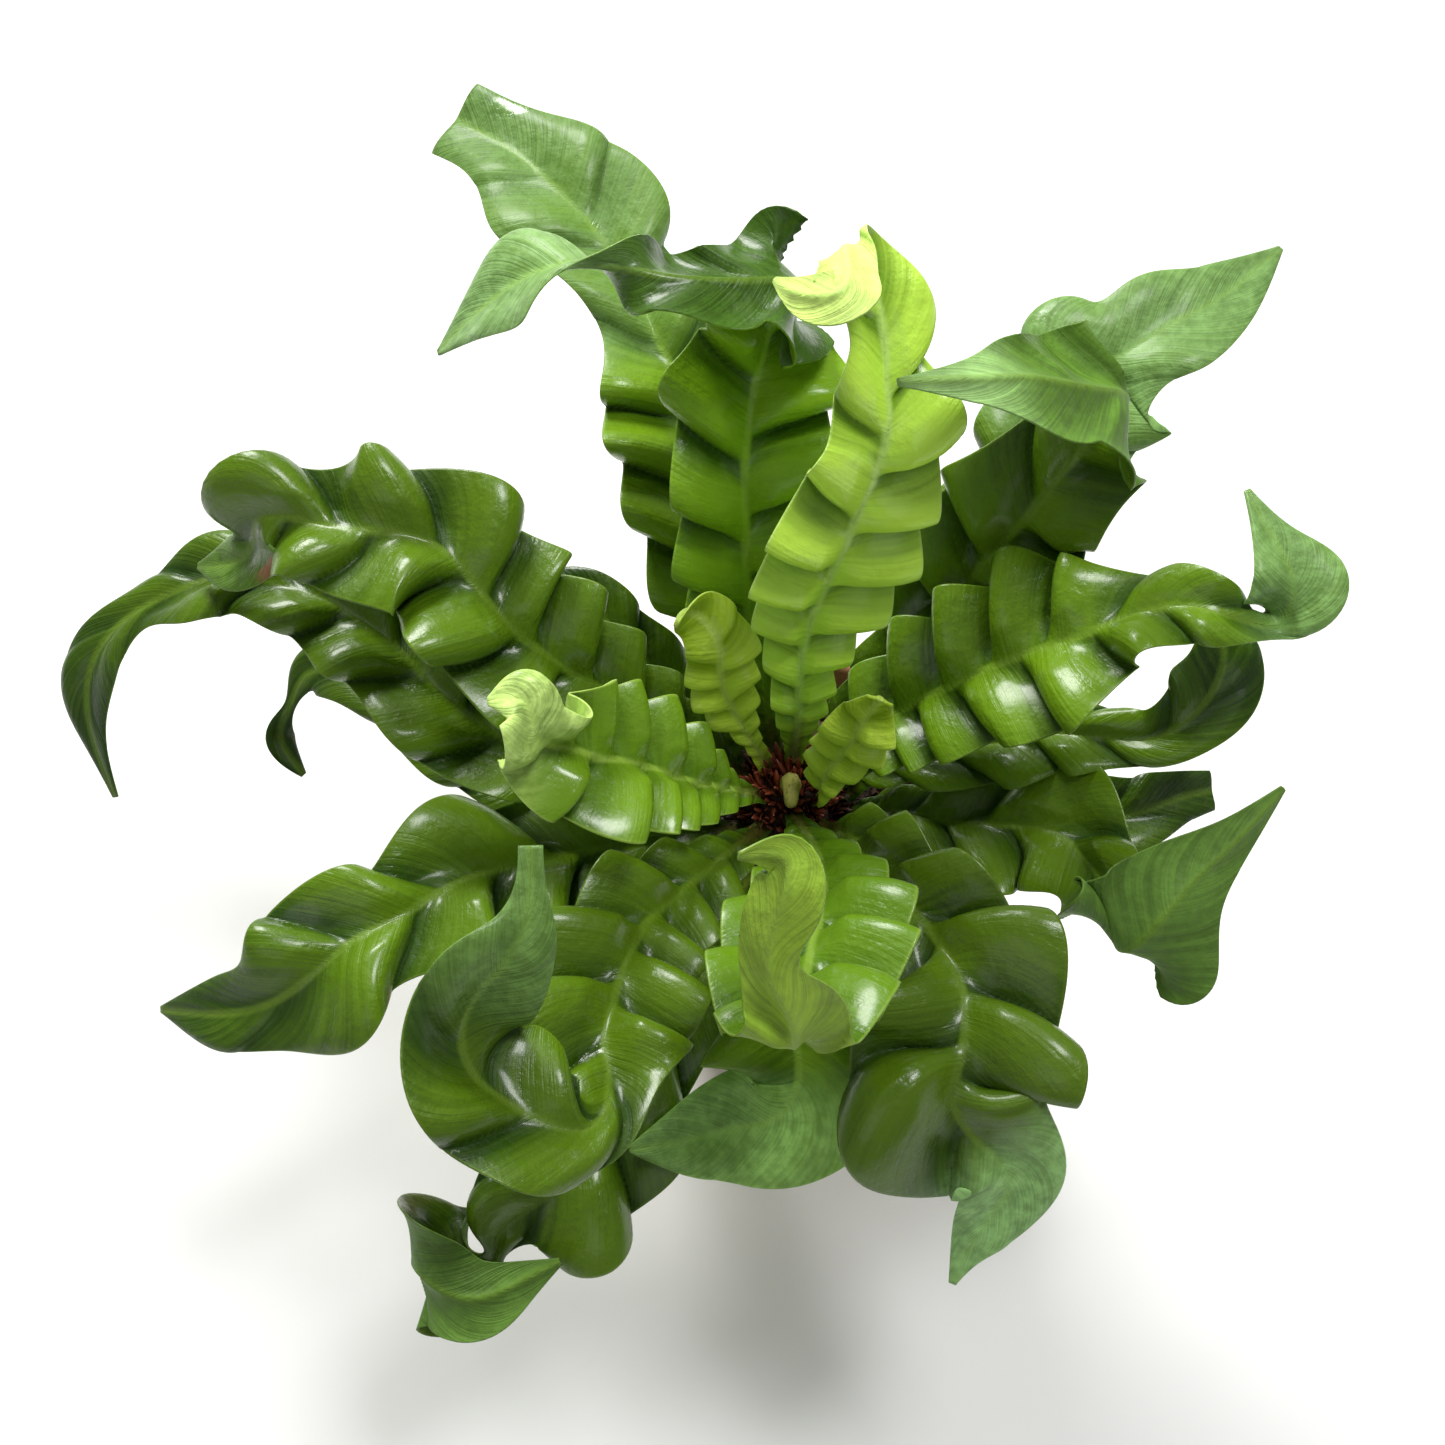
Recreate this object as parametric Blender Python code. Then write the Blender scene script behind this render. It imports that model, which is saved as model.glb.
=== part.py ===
"""A wavy bird's nest fern in a plain terracotta pot.

The origin is the middle of the pot's underside and +Z is up. The fronds stand in a rosette
round a scaly crown, and the front of the plant faces -Y.
"""

import bpy
import numpy as np

# Driving dimensions, in metres.
PLANT_SPREAD = 0.369
FROND_RISE = 0.180
LEAF_THICKNESS = 0.0010
PLEAT_DEPTH = 0.0045
PLEAT_PACE = 0.6
STEM_WIDTH = 0.0060
STEM_LEAD = 0.0040
POT_HEIGHT = 0.112
POT_RIM_DIAMETER = 0.124
POT_BASE_DIAMETER = 0.084
POT_WALL = 0.0045
POT_FLOOR = 0.0070
RIM_BAND_HEIGHT = 0.024
RIM_STEP = 0.0030
DRAIN_HOLE_DIAMETER = 0.009
DRAIN_RING_DIAMETER = 0.044
MIX_BELOW_RIM = 0.009
CROWN_DIAMETER = 0.032
CROWN_ABOVE_RIM = 0.025

# Clearances, in metres.
FIT_GAP = 0.0003
LAYER_GAP = 0.0035

# The frond stations below are written for a plant of this size.
NOMINAL_SPREAD = 0.369
NOMINAL_RISE = 0.180
NOMINAL_CROWN = 0.032

MIX_TOP = POT_HEIGHT - MIX_BELOW_RIM
CROWN_TOP = POT_HEIGHT + CROWN_ABOVE_RIM
CROWN_RADIUS = CROWN_DIAMETER / 2
CROWN_SHOULDER = 0.022

# Each frond: name, age, number of pleats, pleat strength, share of the length from which the
# pleats calm down, where the first pleat falls, compass angle of its stalk round the crown in
# degrees, ring of the crown that it leaves from, and stations. A station is x, y, z from the
# crown's top, half width (all in mm) and roll in degrees. They run from the stalk to the tip,
# and the list runs from the topmost frond to the lowest.
FRONDS = [
    ("front_young", "young", 10, 1.20, 0.60, 0.30, 278, 0, [
        (6, -28, 20, 9, 5),
        (7, -50, 46, 16, 5),
        (4, -68, 66, 22, 10),
        (0, -85, 82, 23, 10),
        (-3, -99, 98, 21, 10),
        (-4, -110, 110, 16, 5),
        (-5, -108, 126, 12, 0),
        (-10, -101, 138, 7, 10),
        (-9, -93, 147, 8, 20),
        (-6, -85, 154, 8, 25),
        (-7, -81, 156, 6, 15),
        (-17, -82, 160, 1, 15),
    ]),
    ("back_young", "young", 13, 1.00, 0.70, 0.50, 82, 0, [
        (2, 13, 24, 7, -15),
        (2, 18, 50, 10, -10),
        (6, 24, 76, 17, -10),
        (12, 28, 100, 20, -10),
        (17, 34, 118, 18, -10),
        (21, 41, 132, 17, -20),
        (20, 49, 143, 15, -30),
        (19, 58, 152, 12, -40),
        (16, 65, 160, 11, -45),
        (10, 71, 168, 8, -30),
        (9, 60, 177, 7, 35),
        (7, 50, 180, 8, 30),
        (0, 51, 177, 6, 40),
        (-8, 60, 171, 1, 40),
    ]),
    ("right_young", "small", 8, 1.00, 0.80, 0.10, 338, 0, [
        (9, -6, 14, 5, -55),
        (13, -4, 30, 8, -80),
        (17, -3, 44, 10, -100),
        (20, -1, 56, 8, -105),
        (23, 0, 63, 4, -110),
    ]),
    ("small_young", "small", 9, 0.55, 0.60, 0.10, 136, 0, [
        (-12, 9, 14, 3, 30),
        (-18, 11, 34, 8, 30),
        (-21, 13, 52, 10, 35),
        (-22, 16, 66, 10, 25),
        (-27, 19, 76, 8, 15),
        (-31, 16, 83, 6, 20),
        (-33, 11, 86, 1, 20),
    ]),
    ("left_young", "young", 10, 1.30, 0.75, 0.50, 197, 0, [
        (-20, -7, 14, 7, 10),
        (-33, -12, 34, 15, 10),
        (-45, -15, 52, 19, 15),
        (-56, -19, 67, 20, 25),
        (-64, -21, 79, 16, 50),
        (-68, -24, 90, 13, 75),
        (-69, -23, 98, 10, 65),
        (-71, -19, 102, 9, 70),
        (-80, -19, 102, 1, 70),
    ]),
    ("right_high", "mature", 12, 1.00, 0.60, 0.30, 14, 1, [
        (19, 6, 12, 8, -10),
        (33, 11, 32, 18, -5),
        (47, 11, 50, 21, -5),
        (61, 12, 64, 24, -5),
        (73, 12, 74, 26, 0),
        (84, 13, 82, 18, 5),
        (93, 14, 88, 14, 15),
        (103, 13, 92, 11, 5),
        (113, 11, 92, 8, -10),
        (129, 12, 84, 6, 40),
        (131, 18, 92, 14, -25),
        (126, 29, 98, 8, -45),
        (119, 43, 102, 1, -45),
    ]),
    ("back_right_fold", "mature", 11, 1.00, 0.50, 0.60, 44, 1, [
        (18, 17, 14, 7, -5),
        (32, 27, 34, 14, -15),
        (45, 35, 54, 18, -15),
        (54, 42, 72, 22, -15),
        (64, 48, 88, 21, -15),
        (73, 54, 102, 17, -10),
        (85, 60, 118, 22, 25),
        (74, 53, 135, 20, 15),
        (56, 46, 150, 14, 15),
        (42, 40, 159, 7, 20),
        (21, 36, 164, 1, 20),
    ]),
    ("back_scroll", "mature", 14, 1.00, 0.50, 0.10, 108, 1, [
        (-8, 22, 22, 9, 15),
        (-13, 34, 50, 17, 20),
        (-14, 49, 76, 20, 10),
        (-14, 63, 95, 21, 10),
        (-11, 77, 106, 24, 5),
        (-6, 88, 118, 18, 0),
        (0, 88, 131, 20, 80),
        (-10, 84, 138, 18, 50),
        (-22, 81, 142, 13, 50),
        (-38, 80, 146, 13, 50),
        (-52, 83, 146, 5, 160),
        (-68, 85, 140, 15, 235),
        (-82, 82, 130, 11, 245),
        (-96, 77, 116, 1, 245),
    ]),
    ("left_high", "mature", 12, 1.00, 0.80, 0.55, 160, 1, [
        (-30, 10, 14, 8, 10),
        (-52, 14, 34, 15, 5),
        (-70, 18, 52, 21, 15),
        (-83, 24, 66, 24, 10),
        (-94, 35, 76, 24, 15),
        (-109, 41, 82, 22, 15),
        (-124, 41, 84, 20, 10),
        (-137, 45, 83, 17, 10),
        (-149, 47, 79, 16, 45),
        (-152, 44, 71, 11, 45),
        (-158, 42, 64, 9, 20),
        (-171, 45, 56, 1, 20),
    ]),
    ("front_left_curl", "mature", 12, 1.00, 0.55, 0.70, 233, 1, [
        (-18, -25, 10, 7, 10),
        (-33, -44, 26, 15, 10),
        (-43, -59, 38, 19, 5),
        (-48, -76, 48, 22, -5),
        (-51, -92, 54, 23, -5),
        (-50, -106, 57, 15, -5),
        (-50, -115, 62, 10, -10),
        (-55, -120, 66, 12, 30),
        (-70, -117, 72, 19, 25),
        (-83, -108, 79, 20, 25),
        (-84, -97, 87, 17, 35),
        (-76, -88, 95, 15, 50),
        (-69, -80, 101, 9, 60),
        (-67, -70, 105, 4, 75),
        (-67, -60, 108, 3, 80),
    ]),
    ("front_right", "mature", 9, 1.00, 0.60, 0.10, 311, 1, [
        (16, -18, 8, 8, -10),
        (25, -34, 22, 14, -10),
        (33, -52, 34, 17, -5),
        (41, -68, 42, 25, 5),
        (44, -83, 46, 27, 15),
        (42, -97, 46, 30, 20),
        (40, -105, 42, 30, 25),
        (47, -115, 33, 23, 25),
        (56, -123, 25, 15, 30),
        (52, -132, 16, 11, 30),
        (46, -140, 9, 5, 15),
        (42, -148, 4, 1, 15),
    ]),
    ("right_under", "mature", 8, 0.80, 0.60, 0.50, 8, 2, [
        (24, 5, 4, 5, -20),
        (48, 6, 12, 11, -10),
        (70, 6, 22, 13, -5),
        (89, 3, 30, 10, -5),
        (103, 0, 34, 8, -10),
        (112, 3, 41, 10, -35),
        (119, 10, 48, 13, -40),
        (121, 18, 54, 11, -50),
        (118, 29, 58, 4, -70),
    ]),
    ("front_right_fold", "mature", 8, 0.80, 0.45, 0.20, 334, 2, [
        (22, -5, -9, 4, -10),
        (41, -10, 7, 12, -10),
        (58, -16, 18, 19, -10),
        (73, -20, 24, 24, -5),
        (83, -31, 28, 19, -10),
        (87, -46, 32, 13, 5),
        (89, -64, 38, 23, 90),
        (96, -61, 47, 22, 95),
        (106, -50, 52, 14, 85),
        (117, -40, 54, 8, 75),
        (133, -24, 56, 1, 75),
    ]),
    ("back_right_far", "mature", 8, 0.70, 0.40, 0.20, 58, 2, [
        (22, 27, 4, 6, 0),
        (41, 44, 18, 14, -5),
        (59, 63, 34, 18, -10),
        (73, 79, 48, 21, -5),
        (84, 96, 58, 24, -5),
        (92, 107, 64, 26, 0),
        (98, 110, 67, 18, 10),
        (110, 117, 70, 17, 10),
        (126, 127, 70, 13, 10),
        (149, 149, 66, 1, 10),
    ]),
    ("back_far_left", "mature", 12, 1.00, 0.50, 0.30, 118, 2, [
        (-12, 27, 10, 7, 15),
        (-21, 45, 28, 14, 15),
        (-27, 64, 44, 18, 10),
        (-30, 87, 56, 24, 0),
        (-35, 105, 64, 24, 0),
        (-43, 121, 70, 16, -5),
        (-57, 145, 76, 21, -5),
        (-69, 160, 78, 24, 5),
        (-85, 178, 76, 16, 5),
        (-103, 193, 72, 13, 20),
    ]),
    ("left_low", "mature", 12, 1.00, 0.55, 0.00, 174, 2, [
        (-30, 2, 2, 8, -5),
        (-57, 1, 14, 15, -5),
        (-80, 2, 26, 18, 0),
        (-100, 12, 36, 22, 5),
        (-114, 24, 43, 19, 10),
        (-128, 34, 48, 19, 15),
        (-143, 40, 50, 14, 15),
        (-161, 46, 48, 13, 10),
        (-178, 44, 44, 12, 15),
        (-192, 40, 38, 7, 15),
        (-205, 31, 30, 10, 25),
        (-210, 19, 20, 8, 35),
        (-209, 9, 10, 4, 35),
        (-205, -3, -2, 1, 35),
    ]),
    ("front_left", "mature", 8, 1.00, 0.60, 0.20, 206, 2, [
        (-30, -14, 0, 8, 10),
        (-54, -23, 12, 13, 10),
        (-76, -32, 24, 21, 10),
        (-96, -43, 32, 23, 10),
        (-110, -54, 36, 18, 10),
        (-123, -62, 36, 20, 5),
        (-135, -71, 32, 22, 15),
        (-146, -76, 26, 14, 20),
        (-159, -77, 20, 11, 10),
        (-180, -73, 10, 1, 10),
    ]),
    ("front_low", "mature", 6, 0.45, 0.30, 0.20, 274, 2, [
        (1, -31, -8, 6, 0),
        (2, -55, 0, 16, 0),
        (0, -76, 4, 23, 5),
        (1, -91, 2, 26, 0),
        (-5, -101, -2, 20, -5),
        (-17, -104, -4, 16, -5),
        (-32, -107, -6, 10, 0),
        (-47, -109, -8, 1, 0),
    ]),
    ("front_under", "mature", 8, 0.80, 0.50, 0.20, 245, 3, [
        (-14, -28, -8, 6, 15),
        (-27, -55, -2, 10, 10),
        (-40, -80, 2, 15, 10),
        (-52, -100, 2, 20, 10),
        (-64, -117, 0, 23, 15),
        (-74, -125, -4, 21, 20),
        (-82, -131, -8, 12, 25),
        (-85, -138, -14, 3, 15),
        (-94, -141, -22, 16, -25),
        (-104, -138, -22, 18, -55),
        (-107, -140, -12, 17, -75),
        (-99, -148, -6, 14, -40),
        (-87, -151, -3, 11, -20),
        (-76, -147, -1, 6, -20),
        (-65, -142, 2, 1, -20),
    ]),
    ("back_low", "mature", 6, 0.60, 0.60, 0.10, 139, 3, [
        (-21, 20, 2, 7, 5),
        (-37, 30, 12, 11, 5),
        (-52, 41, 20, 11, 5),
        (-65, 52, 24, 10, 5),
        (-76, 60, 24, 1, 5),
    ]),
    ("right_low", "mature", 7, 0.80, 0.60, 0.40, 346, 3, [
        (26, -2, -17, 5, 5),
        (49, -7, -8, 12, -5),
        (72, -12, 2, 15, -5),
        (89, -13, 5, 13, -10),
        (104, -11, 6, 11, -10),
        (117, -6, 5, 8, -20),
        (127, -3, 3, 6, -20),
    ]),
    ("left_under", "mature", 8, 0.60, 0.50, 0.40, 184, 3, [
        (-34, 0, -10, 7, 5),
        (-58, -1, -6, 10, 5),
        (-89, 5, -2, 11, 10),
        (-115, 20, 0, 9, 15),
        (-136, 36, 0, 8, 25),
        (-151, 40, -6, 7, 30),
        (-157, 32, -12, 2, 45),
        (-161, 24, -18, 5, 100),
        (-154, 14, -26, 1, 100),
    ]),
]

ACROSS = np.array([-1.0, -0.55, 0.0, 0.55, 1.0])
CELL = 0.002
CELLS = 280


def unit(vectors):
    """Each vector divided by its length."""
    return vectors / np.maximum(np.linalg.norm(vectors, axis=-1, keepdims=True), 1e-12)


def crown_radius_at(drop):
    """Radius of the crown's dome at this distance below its top."""
    below = np.clip((CROWN_SHOULDER - drop) / CROWN_SHOULDER, 0.0, 1.0)
    return CROWN_RADIUS * np.sqrt(1.0 - below**2)


def stalk_start(angle, ring):
    """The first two points of a stalk: one clearance off the crown's dome, and straight out."""
    drop = (0.0032, 0.0085, 0.0145, 0.0210)[ring]
    turn = np.radians(angle)
    radius = crown_radius_at(drop)
    rise = (CROWN_SHOULDER - drop) / CROWN_SHOULDER**2
    out = radius / CROWN_RADIUS**2
    slope = unit(np.array([out * np.cos(turn), out * np.sin(turn), rise]))
    foot = np.array([radius * np.cos(turn), radius * np.sin(turn), CROWN_TOP - drop])
    return np.stack([foot + slope * FIT_GAP, foot + slope * STEM_LEAD])


def placed(plan):
    """Plan positions: they follow the crown's size up to its edge and the plant's spread beyond."""
    reach = np.maximum(np.linalg.norm(plan, axis=1, keepdims=True), 1e-6)
    inside = np.minimum(reach, NOMINAL_CROWN / 2)
    beyond = (reach - inside) * PLANT_SPREAD / NOMINAL_SPREAD
    return plan / reach * (inside * CROWN_RADIUS / (NOMINAL_CROWN / 2) + beyond)


def stations_of(angle, ring, rows):
    """World positions, half widths and rolls of a frond's stations, in metres and radians."""
    rows = np.array(rows, float)
    heights = CROWN_TOP + rows[:, 2:3] * 0.001 * FROND_RISE / NOMINAL_RISE
    points = np.hstack([placed(rows[:, :2] * 0.001), heights])
    widths = rows[:, 3] * 0.001 * PLANT_SPREAD / NOMINAL_SPREAD
    rolls = np.radians(rows[:, 4])
    points = np.vstack([stalk_start(angle, ring), points])
    widths = np.concatenate([[STEM_WIDTH / 2, STEM_WIDTH / 2], widths])
    rolls = np.concatenate([[0.0, 0.0], rolls])
    return points, np.maximum(widths, 0.0005), rolls


def knots_of(points):
    """Spline parameter of each station, 0 to 1, spaced by distance to the power 0.7."""
    steps = np.linalg.norm(np.diff(points, axis=0), axis=1) ** 0.7
    knots = np.concatenate([[0.0], np.cumsum(steps)])
    return knots / knots[-1]


def spline(knots, values, at):
    """Natural cubic spline through the values at the knots, read at the parameters."""
    gaps = np.diff(knots)[:, None]
    count = len(knots)
    slopes = np.diff(values, axis=0) / gaps
    matrix = np.zeros((count, count))
    matrix[0, :2] = 2, 1
    matrix[-1, -2:] = 1, 2
    inner = np.arange(1, count - 1)
    matrix[inner, inner - 1] = gaps[1:, 0]
    matrix[inner, inner] = 2 * (gaps[1:, 0] + gaps[:-1, 0])
    matrix[inner, inner + 1] = gaps[:-1, 0]
    middle = 3 * (slopes[1:] * gaps[:-1] + slopes[:-1] * gaps[1:])
    right = np.vstack([3 * slopes[:1], middle, 3 * slopes[-1:]])
    tangents = np.linalg.solve(matrix, right)
    k = np.clip(np.searchsorted(knots, at, side="right") - 1, 0, count - 2)
    s = ((at - knots[k]) / gaps[k, 0])[:, None]
    start = (2 * s**3 - 3 * s**2 + 1) * values[k] + (s**3 - 2 * s**2 + s) * gaps[k] * tangents[k]
    end = (3 * s**2 - 2 * s**3) * values[k + 1] + (s**3 - s**2) * gaps[k] * tangents[k + 1]
    return start + end


def untwisted_frames(line):
    """Tangent, upper normal and rightward vector along a line, turning as little as they can."""
    tangents = unit(np.gradient(line, axis=0))
    outward = unit(line[0] * [1.0, 1.0, 0.0])
    up = np.array([0.0, 0.0, 1.0]) - 0.6 * outward
    normals = np.empty_like(tangents)
    normals[0] = unit(up - tangents[0] * (up @ tangents[0]))
    for i in range(len(line) - 1):
        normal = normals[i] - tangents[i + 1] * (normals[i] @ tangents[i + 1])
        normals[i + 1] = unit(normal)
    return tangents, normals, np.cross(tangents, normals)


def pleat_rows(pleats):
    """Shares of the length at which a coarse grid has its rows: three to a pleat."""
    return np.linspace(0.0, 1.0, 3 * pleats + 1) ** (1 / PLEAT_PACE)


def blade(pleats, strength, calm, phase, points, widths, rolls, along, across):
    """Mid-surface of a frond on a grid, with each point's pleat height, half width and vein.

    The midrib is a natural spline and its frame turns as little as it can, plus the roll. A
    point sits at t half widths to the side. The channel lifts the sides by 0.3 |t| half widths
    and drops the margin again. Pleats count up with a power of the length, left and right half
    a pleat apart, and lean towards the tip. Each one is a bent sine arch, steeper on its base
    side, that widens the blade at its crest and leans a little back. They die away along the
    stalk's end and from the calm share of the length to the tip.
    """
    knots = knots_of(points)
    fine = np.linspace(0.0, 1.0, 601)
    line = spline(knots, points, fine)
    arc = np.concatenate([[0.0], np.cumsum(np.linalg.norm(np.diff(line, axis=0), axis=1))])
    at = np.interp(along * arc[-1], arc, fine)
    tangents, normals, rights = untwisted_frames(line)
    tangent = unit(np.stack([np.interp(at, fine, tangents[:, k]) for k in range(3)], axis=1))
    normal = unit(np.stack([np.interp(at, fine, normals[:, k]) for k in range(3)], axis=1))
    right = unit(np.stack([np.interp(at, fine, rights[:, k]) for k in range(3)], axis=1))
    centre = spline(knots, points, at)
    width = np.maximum(spline(knots, widths[:, None], at), 0.0005)
    roll = spline(knots, rolls[:, None], at)
    side = right * np.cos(roll) + normal * np.sin(roll)
    up = normal * np.cos(roll) - right * np.sin(roll)
    s = along[:, None]
    t = across[None, :]
    size = np.abs(t)
    fade = np.clip(s / 0.16, 0, 1) ** 1.2 * np.clip((1 - s) / (1 - calm), 0, 1) ** 1.2
    pace = arc[-1] * np.clip(s, 0.05, 1) ** (1 - PLEAT_PACE) / (PLEAT_PACE * pleats)
    wander = 0.12 * np.sin(14.6 * s + 5 * phase + 2 * np.sign(t))
    turn = pleats * s**PLEAT_PACE + 0.5 * (t > 0) + phase + wander - 0.50 * size
    share = turn - np.floor(turn)
    crest = np.sin(np.pi * share**0.72) ** 1.3
    depth = np.minimum(0.52 * pace, 0.55 * width) * strength * fade * PLEAT_DEPTH / 0.0045
    reach = np.clip((size - 0.03) / 0.30, 0, 1) ** 0.8 * (0.75 + 0.25 * size)
    lift = depth * reach * (crest - 0.50) + width * (0.30 * size**1.15 - 0.20 * size**3.5)
    slide = -0.15 * depth * size * np.sin(np.pi * share**0.72)
    spread = t * width * (1 + 0.16 * (crest - 0.5) * fade * size**2)
    grid = centre[:, None] + side[:, None] * spread[..., None]
    grid = grid + up[:, None] * lift[..., None] + tangent[:, None] * slide[..., None]
    return grid, crest * fade, width, arc[-1] * s - 0.50 * pace * size


def denser(grid, rows, columns):
    """The grid read bilinearly at this many rows and columns."""
    u = np.linspace(0, grid.shape[0] - 1, rows)
    v = np.linspace(0, grid.shape[1] - 1, columns)
    i = np.minimum(u.astype(int), grid.shape[0] - 2)
    j = np.minimum(v.astype(int), grid.shape[1] - 2)
    a = (u - i)[:, None, None]
    b = (v - j)[None, :, None]
    low = grid[i][:, j] * (1 - b) + grid[i][:, j + 1] * b
    high = grid[i + 1][:, j] * (1 - b) + grid[i + 1][:, j + 1] * b
    return low * (1 - a) + high * a


def cell_of(points):
    """Plan cell of each point."""
    index = np.floor(points[..., :2] / CELL).astype(int) + CELLS // 2
    index = np.clip(index, 0, CELLS - 1)
    return index[..., 0], index[..., 1]


def lowest_around(ceiling, reach):
    """The lowest height within this many cells."""
    out = ceiling.copy()
    for dx in range(-reach, reach + 1):
        for dy in range(-reach, reach + 1):
            if dx * dx + dy * dy <= reach * reach + 1:
                out = np.minimum(out, np.roll(ceiling, (dx, dy), axis=(0, 1)))
    return out


def smoothed(values, passes):
    """Mean with both neighbours along the first axis, then across the second, repeated."""
    for _ in range(passes):
        wide = np.pad(values, 1, mode="edge")
        values = (wide[:-2, 1:-1] + 2 * wide[1:-1, 1:-1] + wide[2:, 1:-1]) / 4
        wide = np.pad(values, 1, mode="edge")
        values = (wide[1:-1, :-2] + 2 * wide[1:-1, 1:-1] + wide[1:-1, 2:]) / 4
    return values


def press_drop(grid, ceiling):
    """How far to lower the grid, smoothly, where it would touch the fronds above it."""
    roof = lowest_around(ceiling, 3)[cell_of(grid)] - LAYER_GAP
    away = np.linalg.norm(grid - [0, 0, CROWN_TOP], axis=-1)
    excess = np.clip(grid[..., 2] - roof, 0.0, None)
    excess = np.where(excess > 0.030, 0.0, excess)
    excess = excess * np.clip((away - 0.018) / 0.012, 0.0, 1.0)
    wide = np.pad(excess, ((1, 1), (1, 1)), mode="edge")
    sides = [wide[:-2, 1:-1], wide[2:, 1:-1], wide[1:-1, :-2], wide[1:-1, 2:], excess]
    drop = np.maximum(smoothed(np.maximum.reduce(sides), 3), excess)
    return drop * np.clip((away - 0.017) / 0.008, 0.0, 1.0)


def add_to_ceiling(grid, ceiling):
    """Notes the lowest height of this frond over each plan cell."""
    dense = denser(grid, 6 * grid.shape[0], 41)
    np.minimum.at(ceiling, cell_of(dense), dense[..., 2])


def solid_from_grid(grid, thickness):
    """Vertices and faces of the closed sheet of this thickness about a grid."""
    along = np.gradient(grid, axis=0)
    across = np.gradient(grid, axis=1)
    normal = unit(np.cross(across, along))
    top = (grid + normal * thickness / 2).reshape(-1, 3)
    bottom = (grid - normal * thickness / 2).reshape(-1, 3)
    rows, columns = grid.shape[:2]
    index = np.arange(rows * columns).reshape(rows, columns)
    under = index + rows * columns
    faces = quads(index[:-1, :-1], index[:-1, 1:], index[1:, 1:], index[1:, :-1])
    faces += quads(under[:-1, :-1], under[1:, :-1], under[1:, 1:], under[:-1, 1:])
    faces += quads(index[:-1, 0], index[1:, 0], under[1:, 0], under[:-1, 0])
    faces += quads(index[:-1, -1], under[:-1, -1], under[1:, -1], index[1:, -1])
    faces += quads(index[0, :-1], under[0, :-1], under[0, 1:], index[0, 1:])
    faces += quads(index[-1, :-1], index[-1, 1:], under[-1, 1:], under[-1, :-1])
    return np.vstack([top, bottom]), faces


def quads(a, b, c, d):
    """Faces joining four index grids, corner by corner."""
    return np.stack([a.ravel(), b.ravel(), c.ravel(), d.ravel()], axis=1).tolist()


def material(name, colour, roughness, coat=0.0):
    """A Principled material of one colour."""
    made = bpy.data.materials.new(name)
    made.use_nodes = True
    shader = made.node_tree.nodes["Principled BSDF"]
    shader.inputs["Base Color"].default_value = (*colour, 1.0)
    shader.inputs["Roughness"].default_value = roughness
    shader.inputs["Coat Weight"].default_value = coat
    return made


def add_object(name, points, faces, look):
    """A mesh object with one material, its faces turned outward."""
    mesh = bpy.data.meshes.new(name)
    mesh.from_pydata(np.asarray(points).tolist(), [], faces)
    mesh.validate()
    mesh.update()
    mesh.materials.append(look)
    made = bpy.data.objects.new(name, mesh)
    bpy.context.scene.collection.objects.link(made)
    return made


def turned(profile, segments):
    """Points and faces of a closed profile turned about Z. Profile points on the axis are poles."""
    points = []
    rings = []
    for radius, height in profile:
        if radius == 0.0:
            rings.append([len(points)] * segments)
            points.append((0.0, 0.0, height))
            continue
        rings.append(list(range(len(points), len(points) + segments)))
        for k in range(segments):
            turn = 2 * np.pi * k / segments
            points.append((radius * np.cos(turn), radius * np.sin(turn), height))
    faces = []
    for low, high in zip(rings, rings[1:] + rings[:1]):
        for k in range(segments):
            m = (k + 1) % segments
            face = [low[k], low[m], high[m], high[k]]
            face = [v for i, v in enumerate(face) if v != face[i - 1]]
            if len(face) > 2:
                faces.append(face)
    return points, faces


def pot_inner_radius(height):
    """Inside radius of the pot at this height."""
    slope = (POT_RIM_DIAMETER / 2 - RIM_STEP - POT_BASE_DIAMETER / 2) / POT_HEIGHT
    return POT_BASE_DIAMETER / 2 + slope * height - POT_WALL


def pot(look):
    """The pot: a tapered wall, a thick rim band, a flat floor and three drain holes."""
    foot = POT_BASE_DIAMETER / 2
    rim = POT_RIM_DIAMETER / 2
    band = POT_HEIGHT - RIM_BAND_HEIGHT
    body = pot_inner_radius(band) + POT_WALL
    soft = 0.0012
    profile = [
        (foot - soft, 0.0),
        (foot, soft),
        (body, band),
        (rim - soft, band + 0.0005),
        (rim, band + 2 * soft),
        (rim, POT_HEIGHT - 2 * soft),
        (rim - soft, POT_HEIGHT - 0.0005),
        (rim - 2 * soft, POT_HEIGHT),
        (pot_inner_radius(POT_HEIGHT) + soft, POT_HEIGHT),
        (pot_inner_radius(POT_HEIGHT), POT_HEIGHT - soft),
        (pot_inner_radius(POT_FLOOR + 0.003), POT_FLOOR + 0.003),
        (pot_inner_radius(POT_FLOOR) - 0.003, POT_FLOOR),
        (0.0, POT_FLOOR),
        (0.0, 0.0),
    ]
    made = add_object("pot", *turned(profile, 48), look)
    for k in range(3):
        turn = np.radians(30 + 120 * k)
        reach = DRAIN_RING_DIAMETER / 2
        cut = [(DRAIN_HOLE_DIAMETER / 2, -0.005), (DRAIN_HOLE_DIAMETER / 2, 2 * POT_FLOOR)]
        points, faces = turned([(0.0, -0.005)] + cut + [(0.0, 2 * POT_FLOOR)], 20)
        points = np.array(points) + [reach * np.cos(turn), reach * np.sin(turn), 0.0]
        cutter = add_object("drain_cutter_%d" % k, points, faces, look)
        cutter.hide_render = True
        cutter.display_type = "WIRE"
        hole = made.modifiers.new("drain_%d" % k, "BOOLEAN")
        hole.operation = "DIFFERENCE"
        hole.solver = "EXACT"
        hole.object = cutter
    return made


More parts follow.
